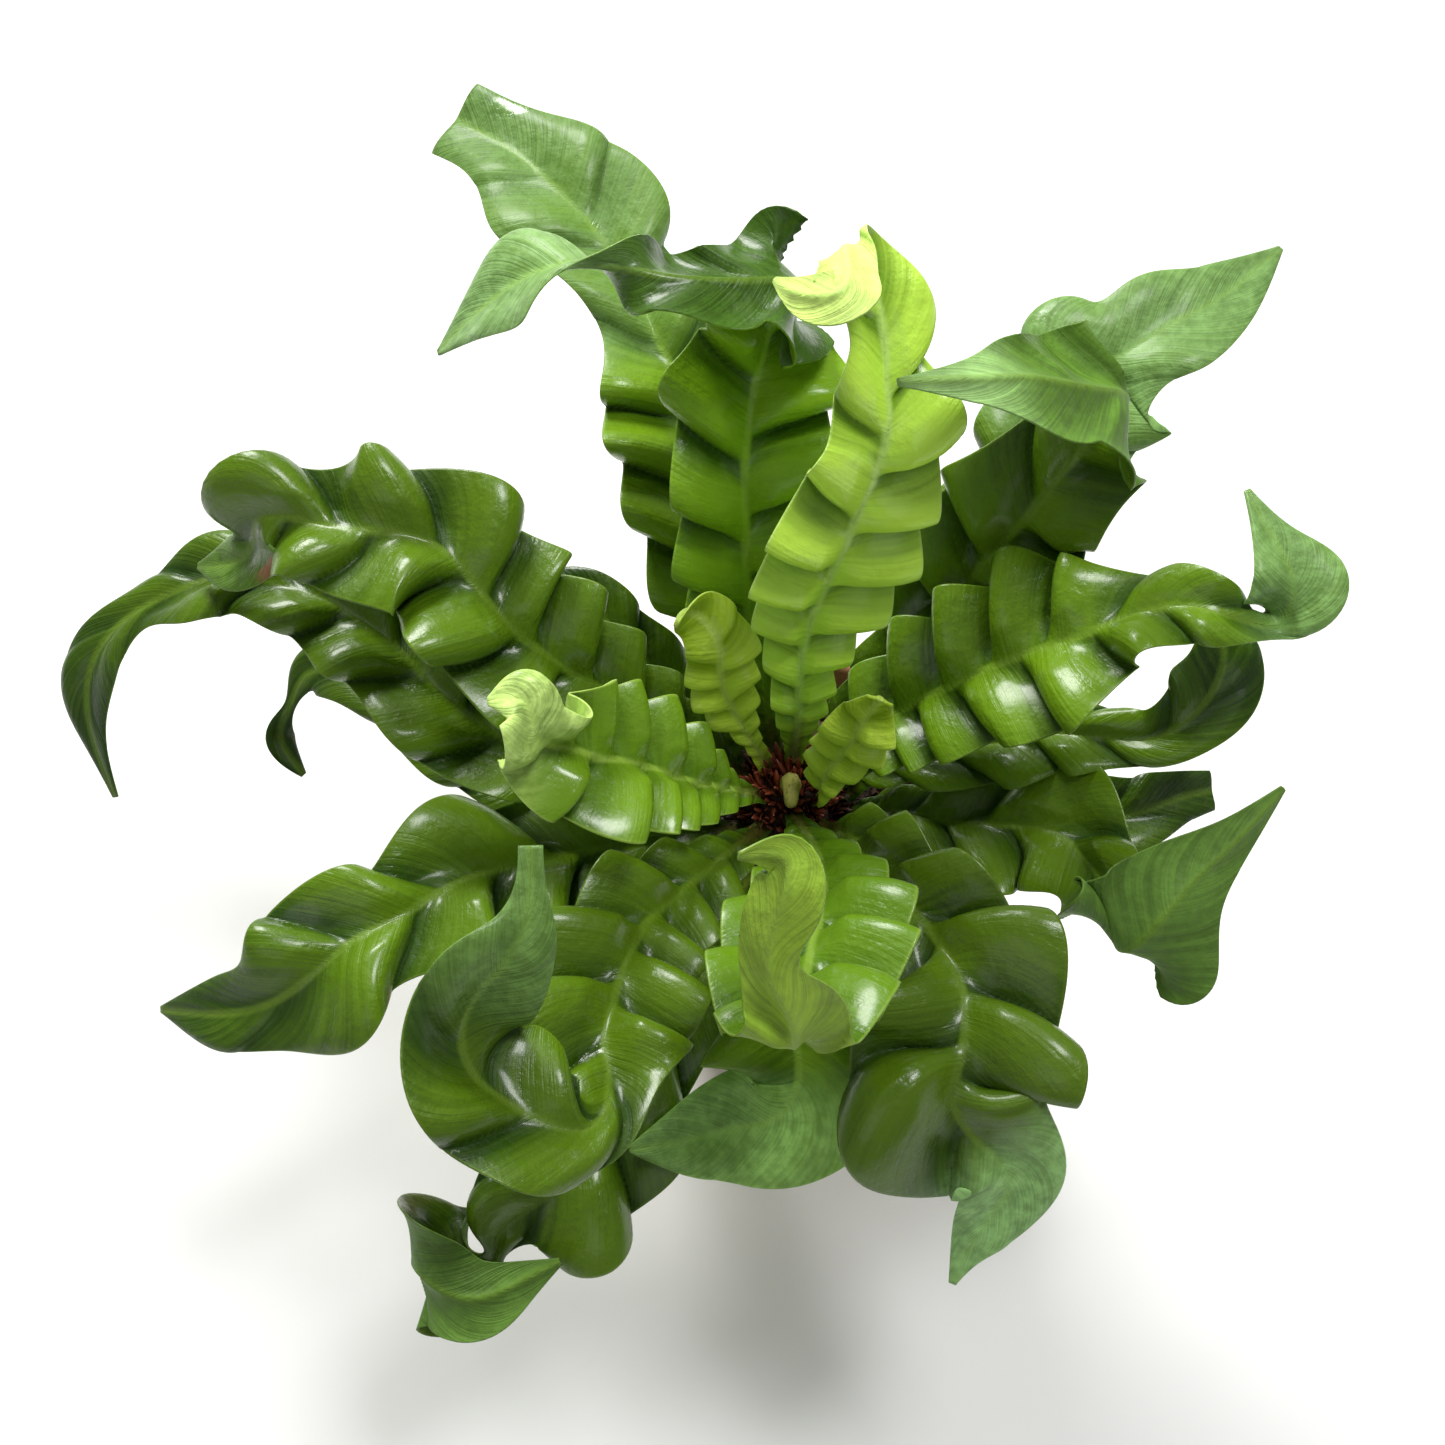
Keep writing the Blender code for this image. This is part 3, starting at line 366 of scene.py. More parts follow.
def blade(pleats, strength, calm, phase, points, widths, rolls, along, across, detail=0.0):
    """Mid-surface of a frond on a grid, with each point's pleat height, half width and vein.

    The midrib is a natural spline and its frame turns as little as it can, plus the roll. A
    point sits at t half widths to the side. The channel lifts the sides by 0.3 |t| half widths
    and drops the margin again. Pleats count up with a power of the length, left and right half
    a pleat apart, and lean towards the tip. Each one is a bent sine arch, steeper on its base
    side, that widens the blade at its crest and leans a little back. They die away along the
    stalk's end and from the calm share of the length to the tip. With detail 1 the arches are
    rounder with narrower creases, differ from pleat to pleat, and the margin is scalloped.
    """
    knots = knots_of(points)
    fine = np.linspace(0.0, 1.0, MIDRIB_POINTS)
    line = spline(knots, points, fine)
    arc = np.concatenate([[0.0], np.cumsum(np.linalg.norm(np.diff(line, axis=0), axis=1))])
    at = np.interp(along * arc[-1], arc, fine)
    tangent, normal, right = (
        unit(np.stack([np.interp(at, fine, way[:, k]) for k in range(3)], axis=1))
        for way in untwisted_frames(line))
    centre = spline(knots, points, at)
    width = np.maximum(spline(knots, widths[:, None], at), 0.0005)
    roll = spline(knots, rolls[:, None], at)
    side = right * np.cos(roll) + normal * np.sin(roll)
    up = normal * np.cos(roll) - right * np.sin(roll)
    s = along[:, None]
    t = across[None, :]
    size = np.abs(t)
    fade = np.clip(s / 0.16, 0, 1) ** 1.2 * np.clip((1 - s) / (1 - calm), 0, 1) ** 1.2
    pace = arc[-1] * np.clip(s, 0.05, 1) ** (1 - PLEAT_PACE) / (PLEAT_PACE * pleats)
    wander = 0.12 * np.sin(14.6 * s + 5 * phase + 2 * np.sign(t))
    turn = pleats * s**PLEAT_PACE + 0.5 * (t > 0) + phase + wander - 0.50 * size
    share = turn - np.floor(turn)
    crest = np.sin(np.pi * share ** (0.72 - 0.09 * detail)) ** (1.3 - 0.1 * detail)
    count = np.floor(turn)
    uneven = 1 + detail * 0.22 * np.sin(5.3 * count + 9 * phase + 2.1 * np.sign(t))
    depth = np.minimum(0.52 * pace, 0.55 * width) * strength * fade * PLEAT_DEPTH / NOMINAL_DEPTH
    reach = np.clip((size - 0.03) / 0.30, 0, 1) ** 0.8 * (0.75 + 0.25 * size)
    channel = width * (0.30 * size**1.15 - 0.20 * size**3.5)
    lift = depth * reach * (crest * uneven - 0.50) + channel
    slide = -0.15 * depth * size * np.sin(np.pi * share**0.72)
    scallop = (0.16 + 0.10 * detail) * (crest * uneven - 0.5)
    spread = t * width * (1 + scallop * fade * size**2)
    grid = centre[:, None] + side[:, None] * spread[..., None]
    grid = grid + up[:, None] * lift[..., None] + tangent[:, None] * slide[..., None]
    return grid, crest * fade, width, arc[-1] * s - 0.50 * pace * size


def denser(grid, rows, columns):
    """The grid read bilinearly at this many rows and columns."""
    u = np.linspace(0, grid.shape[0] - 1, rows)
    v = np.linspace(0, grid.shape[1] - 1, columns)
    i = np.minimum(u.astype(int), grid.shape[0] - 2)
    j = np.minimum(v.astype(int), grid.shape[1] - 2)
    a = (u - i)[:, None, None]
    b = (v - j)[None, :, None]
    low = grid[i][:, j] * (1 - b) + grid[i][:, j + 1] * b
    high = grid[i + 1][:, j] * (1 - b) + grid[i + 1][:, j + 1] * b
    return low * (1 - a) + high * a


def cell_of(points):
    """Plan cell of each point."""
    index = np.floor(points[..., :2] / CELL).astype(int) + CELLS // 2
    index = np.clip(index, 0, CELLS - 1)
    return index[..., 0], index[..., 1]


def lowest_around(ceiling, reach):
    """The lowest height within this many cells."""
    out = ceiling.copy()
    for dx in range(-reach, reach + 1):
        for dy in range(-reach, reach + 1):
            if dx * dx + dy * dy <= reach * reach + 1:
                out = np.minimum(out, np.roll(ceiling, (dx, dy), axis=(0, 1)))
    return out


def smoothed(values, passes):
    """Mean with both neighbours along the first axis, then across the second, repeated."""
    for _ in range(2 * passes):
        wide = np.pad(values, ((1, 1), (0, 0)), mode="edge")
        values = ((wide[:-2] + 2 * wide[1:-1] + wide[2:]) / 4).T
    return values


def press_drop(grid, ceiling):
    """How far to lower the grid, smoothly, where it would touch the fronds above it."""
    roof = lowest_around(ceiling, PRESS_CELLS)[cell_of(grid)] - LAYER_GAP
    away = np.linalg.norm(grid - [0, 0, CROWN_TOP], axis=-1)
    excess = np.clip(grid[..., 2] - roof, 0.0, None)
    excess = np.where(excess > PRESS_LIMIT, 0.0, excess)
    excess = excess * np.clip((away - PRESS_FROM) / (PRESS_FULL - PRESS_FROM), 0.0, 1.0)
    wide = np.pad(excess, ((1, 1), (1, 1)), mode="edge")
    sides = [wide[:-2, 1:-1], wide[2:, 1:-1], wide[1:-1, :-2], wide[1:-1, 2:], excess]
    drop = np.maximum(smoothed(np.maximum.reduce(sides), 3), excess)
    return drop * np.clip((away - FADE_FROM) / (FADE_FULL - FADE_FROM), 0.0, 1.0)


def add_to_ceiling(grid, ceiling):
    """Notes the lowest height of this frond over each plan cell."""
    dense = denser(grid, 6 * grid.shape[0], 41)
    np.minimum.at(ceiling, cell_of(dense), dense[..., 2])


def spread_of(field, rows_at, along, across):
    """A field on the coarse grid read at finer shares of length and width, straight between."""
    columns = [np.interp(along, rows_at, field[:, k]) for k in range(len(COARSE))]
    columns = np.stack(columns, axis=1)
    j = np.clip(np.searchsorted(COARSE, across, side="right") - 1, 0, len(COARSE) - 2)
    share = (across - COARSE[j]) / (COARSE[j + 1] - COARSE[j])
    return columns[:, j] * (1 - share) + columns[:, j + 1] * share


def sheet_mesh(name, grid, above, below, values, uv):
    """A closed sheet: the grid pushed out by one distance above and another below."""
    normal = unit(np.cross(np.gradient(grid, axis=1), np.gradient(grid, axis=0)))
    top = (grid + normal * above[..., None]).reshape(-1, 3)
    bottom = (grid - normal * below[..., None]).reshape(-1, 3)
    rows, columns = grid.shape[:2]
    index = np.arange(rows * columns).reshape(rows, columns)
    under = index + rows * columns
    faces = np.concatenate([
        quads(index[:-1, :-1], index[:-1, 1:], index[1:, 1:], index[1:, :-1]),
        quads(under[:-1, :-1], under[1:, :-1], under[1:, 1:], under[:-1, 1:]),
        quads(index[:-1, 0], index[1:, 0], under[1:, 0], under[:-1, 0]),
        quads(index[:-1, -1], under[:-1, -1], under[1:, -1], index[1:, -1]),
        quads(index[0, :-1], under[0, :-1], under[0, 1:], index[0, 1:]),
        quads(index[-1, :-1], index[-1, 1:], under[-1, 1:], under[-1, :-1]),
    ])
    doubled = {key: np.tile(value.ravel(), 2) for key, value in values.items()}
    doubled["upper"] = np.repeat([1.0, 0.0], rows * columns)
    both = np.tile(uv.reshape(-1, 2), (2, 1))
    return surface(name, np.vstack([top, bottom]), faces, doubled, both)


def quads(a, b, c, d):
    """Faces joining four index grids, corner by corner."""
    return np.stack([a.ravel(), b.ravel(), c.ravel(), d.ravel()], axis=1)


def added(name, data):
    """A new object in the scene, at the origin."""
    made = bpy.data.objects.new(name, data)
    bpy.context.scene.collection.objects.link(made)
    return made


def surface(name, points, faces, values=None, uv=None):
    """A smooth mesh object from whole arrays, riding on the root body."""
    sides = faces.shape[1]
    mesh = bpy.data.meshes.new(name)
    mesh.vertices.add(len(points))
    mesh.vertices.foreach_set("co", np.asarray(points, np.float32).ravel())
    mesh.loops.add(faces.size)
    mesh.loops.foreach_set("vertex_index", np.asarray(faces, np.int32).ravel())
    mesh.polygons.add(len(faces))
    mesh.polygons.foreach_set("loop_start", np.arange(0, faces.size, sides, dtype=np.int32))
    mesh.polygons.foreach_set("use_smooth", np.ones(len(faces), bool))
    mesh.update(calc_edges=True)
    for key, value in (values or {}).items():
        made = mesh.attributes.new(key, "FLOAT", "POINT")
        made.data.foreach_set("value", np.asarray(value, np.float32).ravel())
    if uv is not None:
        layer = mesh.uv_layers.new(name="leaf")
        layer.data.foreach_set("uv", np.asarray(uv, np.float32)[faces.ravel()].ravel())
    made = added(name, mesh)
    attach(made, "root")
    return made


def fine_frond(number, entry, ceiling):
    """One frond: the solid's mid-surface, pressed clear in the same way, then made fine.

    The sheet thins towards its margin with the sixth power of the width. The midrib is a bell
    curve across the blade, low above it and high below, and lower towards the tip.
    """
    name, age, pleats, strength, calm, phase, angle, ring, rows = entry
    points, widths, rolls = stations_of(angle, ring, rows)
    rows_at = pleat_rows(pleats)
    coarse = blade(pleats, strength, calm, phase, points, widths, rolls, rows_at, COARSE)[0]
    drop = press_drop(coarse, ceiling) if age == "mature" else 0 * coarse[..., 2]
    coarse[..., 2] -= drop
    add_to_ceiling(coarse, ceiling)
    along = np.linspace(0.0, 1.0, FINE_ROWS[age])
    turn = np.pi / 2 * 0.8
    across = np.sin(np.linspace(-1.0, 1.0, FINE_COLUMNS) * np.pi / 2 * 0.8) / np.sin(turn)
    grid, crest, width, vein = blade(
        pleats, strength, calm, phase, points, widths, rolls, along, across, 1.0)
    grid[..., 2] -= smoothed(spread_of(drop, rows_at, along, across), 6)
    size = np.abs(across)[None, :]
    rib = np.exp(-((across[None, :] * width / RIB_BREADTH) ** 2))
    thin = 0.5 * LEAF_THICKNESS * (0.45 + 0.55 * (1 - size**6)) + 0 * grid[..., 0]
    above = thin + RIB_ABOVE * rib
    below = thin + np.minimum(RIB_BELOW, 0.25 * width) * rib * (1 - 0.6 * along[:, None])
    t = across[None, :] + 0 * grid[..., 0]
    # Painted light and shade: the frond's own factor, times a small random tone.
    tone = FROND_LIGHT_AND_SHADE.get(name, 1.0) * (0.94 + 0.12 * ((number * 0.618) % 1.0))
    values = {
        "crest": crest,
        "across": t,
        "along": along[:, None] + 0 * t,
        "tone": np.full(t.shape, tone),
        "halfwidth": width + 0 * t,
    }
    uv = np.stack([vein, t * width], axis=-1)
    made = sheet_mesh("fine_" + name, grid, above, below, values, uv)
    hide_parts(name)
    return made


# Materials.


class Tree:
    """Short ways to add and join shader nodes in one tree."""

    def __init__(self, tree):
        self.tree = tree

    def node(self, kind, **inputs):
        """A new node with these inputs."""
        made = self.tree.nodes.new(kind)
        for key, value in inputs.items():
            self.put(made, key, value)
        return made

    def put(self, node, key, value):
        """Joins a socket to a node's input, or sets the input to a value."""
        socket = node.inputs[key if isinstance(key, int) else key.replace("_", " ")]
        if isinstance(value, bpy.types.NodeSocket):
            self.tree.links.new(value, socket)
        else:
            socket.default_value = value

    def attribute(self, name):
        made = self.tree.nodes.new("ShaderNodeAttribute")
        made.attribute_name = name
        return made.outputs["Fac"]

    def math(self, operation, a, b=0.0, c=0.0):
        made = self.tree.nodes.new("ShaderNodeMath")
        made.operation = operation
        for k, value in enumerate((a, b, c)):
            self.put(made, k, value)
        return made.outputs[0]

    def times(self, a, b, plus=None):
        """a times b, plus a third value if there is one."""
        if plus is None:
            return self.math("MULTIPLY", a, b)
        return self.math("MULTIPLY_ADD", a, b, plus)

    def ramp(self, value, low, high, to_low=0.0, to_high=1.0):
        """A smooth step between two values, from one result to another."""
        made = self.tree.nodes.new("ShaderNodeMapRange")
        made.interpolation_type = "SMOOTHSTEP"
        for k, item in enumerate((value, low, high, to_low, to_high)):
            self.put(made, k, item)
        return made.outputs["Result"]

    def mix(self, share, a, b, blend="MIX"):
        """Colour a with this share of colour b."""
        made = self.tree.nodes.new("ShaderNodeMix")
        made.data_type = "RGBA"
        made.blend_type = blend
        for k, item in ((0, share), (6, a), (7, b)):
            self.put(made, k, item)
        return made.outputs[2]

    def noise(self, vector, scale, detail=2.0, roughness=0.5):
        made = self.node(
            "ShaderNodeTexNoise", Vector=vector, Scale=scale, Detail=detail, Roughness=roughness)
        return made.outputs["Fac"]

    def place(self):
        return self.node("ShaderNodeTexCoord").outputs["Object"]

    def grey(self, value):
        return self.node("ShaderNodeCombineColor", Red=value, Green=value, Blue=value).outputs[0]

    def relief(self, shader, strength, depth, height):
        """Gives the shader fine relief."""
        bump = self.node("ShaderNodeBump", Strength=strength, Distance=depth, Height=height)
        self.put(shader, "Normal", bump.outputs[0])

    def stretched(self, vector, scale):
        made = self.node("ShaderNodeMapping", Vector=vector, Scale=scale)
        return made.outputs["Vector"]


def group(name, inputs, outputs):
    """An empty shader node group with these named sockets, its input sockets and its output."""
    kinds = {tuple: "NodeSocketColor", float: "NodeSocketFloat"}
    made = bpy.data.node_groups.new(name, "ShaderNodeTree")
    for side, sockets in (("INPUT", inputs), ("OUTPUT", outputs)):
        for label, value in sockets.items():
            socket = made.interface.new_socket(
                name=label.replace("_", " "), in_out=side, socket_type=kinds[type(value)])
            socket.default_value = value
    given = made.nodes.new("NodeGroupInput").outputs
    return made, Tree(made), given, made.nodes.new("NodeGroupOutput")


def leaf_group():
    """Leaf surface: crests painted lit and creases painted shaded, each frond painted lighter or
    darker, cross veins, rib, margin, a dull tip painted pale in part as sheen, underside.
    """
    outputs = dict(Colour=(0.0, 0.0, 0.0, 1), Roughness=0.5, Gloss=0.0, Height=0.0)
    made, tree, given, end = group("leaf_surface", PLAIN_LEAF, outputs)
    names = "crest", "across", "along", "upper", "tone", "halfwidth"
    crest, side, along, upper, tone, half = (tree.attribute(name) for name in names)
    across = tree.math("ABSOLUTE", side)
    uv = tree.tree.nodes.new("ShaderNodeUVMap")
    uv.uv_map = "leaf"
    place = tree.place()
    veins = tree.noise(tree.stretched(uv.outputs[0], (1.0, 0.03, 1.0)), VEINS, 2.0)
    streaks = tree.noise(tree.stretched(uv.outputs[0], (1.0, 0.07, 1.0)), STREAKS, 3.0)
    patches = tree.noise(place, PATCHES, 4.0)
    puckers = tree.noise(place, PUCKERS, 3.0, 0.55)
    pores = tree.noise(place, PORES, 2.0)
    # Painted light and shade: pleat crests go towards Lit and creases towards Shaded, broken up by
    # the leaf's own streaks, veins and patches.
    lit = tree.times(crest, 0.75, -0.35)
    lit = tree.times(streaks, 0.55, lit)
    lit = tree.times(veins, 0.25, lit)
    lit = tree.times(patches, 0.60, lit)
    lit = tree.ramp(lit, 0.15, 1.05)
    face = tree.mix(lit, given["Shaded"], given["Lit"])
    distance = tree.times(across, half)
    ribbed = tree.ramp(distance, 0.0005, 0.0019, 1.0, 0.0)
    face = tree.mix(tree.times(ribbed, 0.70), face, given["Rib"])
    # Painted shade: pleat creases away from the midrib and short of the tip are darkened towards
    # Shaded; the same mask makes them rougher and less glossy.
    crease_shade = tree.times(tree.ramp(crest, 0.30, 0.0), tree.ramp(distance, 0.0012, 0.0040))
    crease_shade = tree.times(crease_shade, tree.ramp(along, 0.9, 0.6))
    face = tree.mix(tree.times(crease_shade, 0.45), face, given["Shaded"])
    rim = tree.ramp(across, 0.960, 0.995)
    face = tree.mix(tree.times(rim, 0.55), face, given["Rib"])
    # Painted light and shade: the upper face times the frond's tone.
    face = tree.mix(1.0, face, tree.grey(tone), "MULTIPLY")
    # The tip is painted paler, in part as sheen and in part as its own colour, and is made rougher
    # with less gloss.
    after = tree.math("SUBTRACT", along, given["Tip start"])
    sheen_and_dull_tip = tree.times(tree.ramp(after, 0.0, 0.10), given["Tip amount"])
    spotted = tree.times(puckers, 0.6, tree.times(veins, 0.4))
    spotted = tree.mix(tree.ramp(spotted, 0.35, 0.70, 0.55, 0.0), given["Tip"], face)
    face = tree.mix(sheen_and_dull_tip, face, spotted)
    shade = tree.times(puckers, 0.6, tree.times(veins, 0.5, streaks))
    shade = tree.ramp(shade, 0.75, 1.35, 0.74, 1.20)
    shade = tree.times(shade, tree.ramp(patches, 0.3, 0.7, 0.80, 1.15))
    back = tree.mix(sheen_and_dull_tip, given["Underside"], given["Tip"])
    back = tree.mix(1.0, back, tree.grey(shade), "MULTIPLY")
    keel = tree.ramp(distance, 0.0006, 0.0014, 0.40, 0.0)
    back = tree.mix(keel, back, given["Rib"])
    colour = tree.mix(upper, back, face)
    burnt = tree.ramp(tree.times(puckers, -0.10, side), -0.72, -0.80)
    burnt = tree.times(burnt, given["Blemish"])
    burnt = tree.times(burnt, tree.ramp(along, 0.84, 0.86))
    burnt = tree.times(burnt, tree.ramp(along, 0.89, 0.91, 1.0, 0.0))
    colour = tree.mix(burnt, colour, BURNT)
    stalk = tree.ramp(distance, 0.0010, 0.0030, 1.0, 0.0)
    stalk = tree.times(tree.ramp(along, 0.02, 0.14, 1.0, 0.0), stalk)
    colour = tree.mix(tree.times(stalk, 0.65), colour, STALK)
    tree.put(end, "Colour", colour)
    pools = tree.ramp(tree.noise(place, 38.0, 1.0), 0.64, 0.68)
    pools = tree.times(pools, tree.ramp(crest, 0.5, 0.2))
    wet = tree.times(tree.times(pools, upper), tree.ramp(along, 0.15, 0.3))
    shine = tree.ramp(tree.times(puckers, 0.5, streaks), 0.55, 0.95, 0.27, 0.45)
    shine = tree.times(sheen_and_dull_tip, 0.14, shine)
    lower = tree.math("SUBTRACT", 1.0, upper)
    rough_back = tree.times(lower, tree.times(given["Under shine"], -0.2, 0.2))
    dry = tree.math("ADD", shine, rough_back)
    dry = tree.times(crease_shade, 0.35, dry)
    tree.put(end, "Roughness", tree.times(dry, tree.times(wet, -0.75, 1.0)))
    gloss = tree.times(upper, tree.times(sheen_and_dull_tip, -0.7, 1.0))
    gloss = tree.times(lower, given["Under shine"], gloss)
    gloss = tree.times(gloss, given["Shine"])
    gloss = tree.times(gloss, tree.times(crease_shade, -0.9, 1.0))
    tree.put(end, "Gloss", tree.times(wet, 0.7, gloss))
    height = tree.times(streaks, 1.1, tree.times(veins, 0.7))
    height = tree.times(puckers, 1.5, height)
    tree.put(end, "Height", tree.times(pores, 0.30, height))
    return made


def principled(name, **values):
    """A material with one Principled shader, and its tree."""
    made = bpy.data.materials.new(name)
    made.use_nodes = True
    shader = made.node_tree.nodes["Principled BSDF"]
    for key, value in values.items():
        shader.inputs[key.replace("_", " ")].default_value = value
    return made, Tree(made.node_tree), shader


def leaf_material(name, surface_group, **values):
    """A leaf: the shared leaf surface with its own colours, veins as fine relief, thin gloss."""
    made, tree, shader = principled(
        name, Coat_Roughness=0.19, Coat_IOR=1.40, Specular_IOR_Level=0.22)
    used = tree.node("ShaderNodeGroup")
    used.node_tree = surface_group
    for label, value in {**PLAIN_LEAF, **values}.items():
        tree.put(used, label, value)
    tree.put(shader, "Base Color", used.outputs["Colour"])
    tree.put(shader, "Roughness", used.outputs["Roughness"])
    tree.put(shader, "Coat Weight", used.outputs["Gloss"])
    tree.relief(shader, 0.8, 0.00045, used.outputs["Height"])
    return made


def wear(made, material):
    """The object wears this one material."""
    made.data.materials.clear()
    made.data.materials.append(material)


# Leaf colours, linear. Lit is painted light for the pleat crests and Shaded is painted shade for
# the creases.
PLAIN_LEAF = dict(
    Shaded=(0.015, 0.052, 0.001, 1), Lit=(0.118, 0.225, 0.006, 1), Rib=(0.150, 0.260, 0.020, 1),
    Underside=(0.110, 0.220, 0.032, 1), Tip=(0.230, 0.420, 0.120, 1),
    Tip_start=0.8, Tip_amount=0.0, Blemish=0.0, Shine=0.52, Under_shine=0.0,
)
# Each Tip colour is paler in part as painted sheen and in part as the tip's own colour.
LEAF_KINDS = {
    "mature": dict(),
    "far_left": dict(Tip=(0.165, 0.305, 0.075, 1), Tip_start=0.52, Tip_amount=0.9),
    "far_right": dict(Tip=(0.220, 0.400, 0.115, 1), Tip_start=0.50, Tip_amount=0.9),
    "short_tip": dict(Tip=(0.250, 0.450, 0.130, 1), Tip_start=0.72, Tip_amount=0.9),
    "front_tip": dict(Tip=(0.340, 0.610, 0.210, 1), Tip_start=0.72, Tip_amount=0.9),
    "low_tip": dict(Tip=(0.400, 0.720, 0.180, 1), Tip_start=0.55, Tip_amount=0.8),
    "spoilt": dict(
        Tip=(0.150, 0.290, 0.040, 1), Tip_start=0.86, Tip_amount=0.8, Blemish=1.0),
    # Painted shade: the scroll's dark underside stands in for the shadow inside its roll.
    "scroll": dict(
        Underside=(0.045, 0.110, 0.006, 1), Tip=(0.280, 0.480, 0.160, 1),
        Tip_start=0.76, Tip_amount=0.95, Under_shine=0.8),
    "folded": dict(
        Underside=(0.110, 0.230, 0.025, 1), Tip=(0.300, 0.500, 0.170, 1),
        Tip_start=0.82, Tip_amount=0.9),
    "curled": dict(Tip=(0.190, 0.350, 0.080, 1), Tip_start=0.78, Tip_amount=0.8),
    "young": dict(
        Shaded=(0.100, 0.240, 0.002, 1), Lit=(0.620, 0.960, 0.090, 1), Rib=(0.600, 0.880, 0.220, 1),
        Underside=(0.620, 0.840, 0.200, 1), Shine=0.9),
    "middling": dict(
        Shaded=(0.020, 0.068, 0.001, 1), Lit=(0.110, 0.225, 0.006, 1), Rib=(0.240, 0.380, 0.050, 1),
        Underside=(0.250, 0.400, 0.035, 1), Shine=0.5),
    "ruffled": dict(
        Shaded=(0.030, 0.095, 0.001, 1), Lit=(0.165, 0.315, 0.011, 1), Rib=(0.360, 0.540, 0.080, 1),
        Underside=(0.600, 0.820, 0.190, 1), Tip=(0.700, 0.950, 0.270, 1),
        Tip_start=0.74, Tip_amount=0.9, Shine=0.8),
    "small": dict(
        Shaded=(0.260, 0.420, 0.004, 1), Lit=(0.640, 0.880, 0.080, 1), Rib=(0.600, 0.780, 0.160, 1),
        Underside=(0.500, 0.700, 0.100, 1), Shine=0.6),
}

# Which colours a frond wears, where they aren't the mature ones, and its painted light and shade:
# a factor that lightens or darkens its upper face.
WORN = {
    "back_young": "young", "front_young": "middling", "left_young": "ruffled",
    "small_young": "small", "right_young": "small", "back_far_left": "far_left",
    "back_right_far": "far_right", "right_high": "short_tip", "front_right": "front_tip",
    "front_low": "low_tip", "left_high": "spoilt", "back_scroll": "scroll",
    "back_right_fold": "folded", "front_left_curl": "curled",
}
FROND_LIGHT_AND_SHADE = {
    "front_right": 0.68, "front_left": 0.86, "front_left_curl": 0.74, "front_low": 1.30,
    "back_scroll": 1.70, "left_high": 0.74, "right_high": 1.15, "back_far_left": 1.30,
    "back_low": 0.85, "left_low": 0.80, "front_right_fold": 0.90, "right_low": 0.70,
    "left_under": 0.70, "front_under": 0.90,
}


def all_fronds():
    """Every frond in its own colours."""
    leaf = leaf_group()
    green = {}
    for kind, values in LEAF_KINDS.items():
        green[kind] = leaf_material("leaf_" + kind, leaf, **values)
    ceiling = np.full((CELLS, CELLS), np.inf)
    for number, entry in enumerate(FRONDS):
        made = fine_frond(number, entry, ceiling)
        wear(made, green[WORN.get(entry[0], "mature")])


def lens_forms(name, places, ways, lengths, widths, curls, tones, rows=6):
    """Many narrow closed scales: each a path that curls over, with a lens-shaped section.

    At a share s of its length a scale is as wide as sin(pi s) to the 0.6, its path bends by
    curl times s squared away from the way it points, and its section has four points.
    """
    s = np.linspace(0.0, 1.0, rows)[None, :, None]
    up = unit(places - [0, 0, CROWN_TOP - CROWN_SHOULDER])
    forward = unit(ways)
    side = unit(np.cross(forward, up))
    out = unit(np.cross(side, forward))
    length = lengths[:, None, None]
    path = places[:, None] + forward[:, None] * (length * s)
    path = path + out[:, None] * (length * curls[:, None, None] * s**2)
    half = widths[:, None, None] * (np.sin(np.pi * (0.06 + 0.92 * s)) ** 0.6)
    across, deep = side[:, None] * half, out[:, None] * (0.16 * half)
    ring = np.stack([path + across, path + deep, path - across, path - deep], axis=2)
    index = np.arange(ring.size // 3).reshape(-1, rows, 4)
    after = np.roll(index, -1, axis=2)
    faces = np.concatenate([
        quads(index[:, :-1], after[:, :-1], after[:, 1:], index[:, 1:]),
        index[:, 0, ::-1].reshape(-1, 4),
        index[:, -1].reshape(-1, 4),
    ])
    tone = np.repeat(tones, rows * 4)
    reach = np.tile(np.repeat(np.linspace(0, 1, rows), 4), len(places))
    return surface(name, ring.reshape(-1, 3), faces, {"tone": tone, "reach": reach})


def crown_scales():
    """Overlapping scales on the crown, on a golden-angle spiral down its dome, curling outward.

    The k-th scale sits at a drop that grows with k to the 1.1. It leans outward more the lower
    it sits, by a random share too, and the lower ones are shorter and darker.
    """
    k = np.arange(SCALES)
    low = k / SCALES
    turn = k * GOLDEN_ANGLE
    drop = CROWN_SHOULDER * 0.93 * low**1.1
    places = around(crown_radius_at(drop), turn, CROWN_TOP - drop - 0.0008)
    lean = 0.20 + 0.55 * low + 0.25 * CHANCE.random(SCALES)
    ways = around(1.0, turn, 0.0) * lean[:, None] + np.array([0, 0, 1.0])
    ways = ways + 0.35 * CHANCE.normal(size=(SCALES, 3))
    lengths = 0.0052 - 0.0014 * low + 0.0032 * CHANCE.random(SCALES)
    widths = 0.0007 + 0.0006 * CHANCE.random(SCALES)
    curls = -0.25 + 0.9 * CHANCE.random(SCALES)
    tones = np.clip(1.15 - 1.5 * low, 0, 1) * (0.45 + 0.55 * CHANCE.random(SCALES))
    scales = lens_forms("fine_scales", places, ways, lengths, widths, curls, tones)
    look, tree, shader = principled("scale_brown", Roughness=0.42)
    share = tree.times(tree.attribute("reach"), 0.30, tree.attribute("tone"))
    share = tree.times(tree.noise(tree.place(), 700.0, 2.0), 0.30, share)
    tree.put(shader, "Base Color", tree.mix(tree.ramp(share, 0.25, 1.30), *SCALE_COLOURS))
    wear(scales, look)


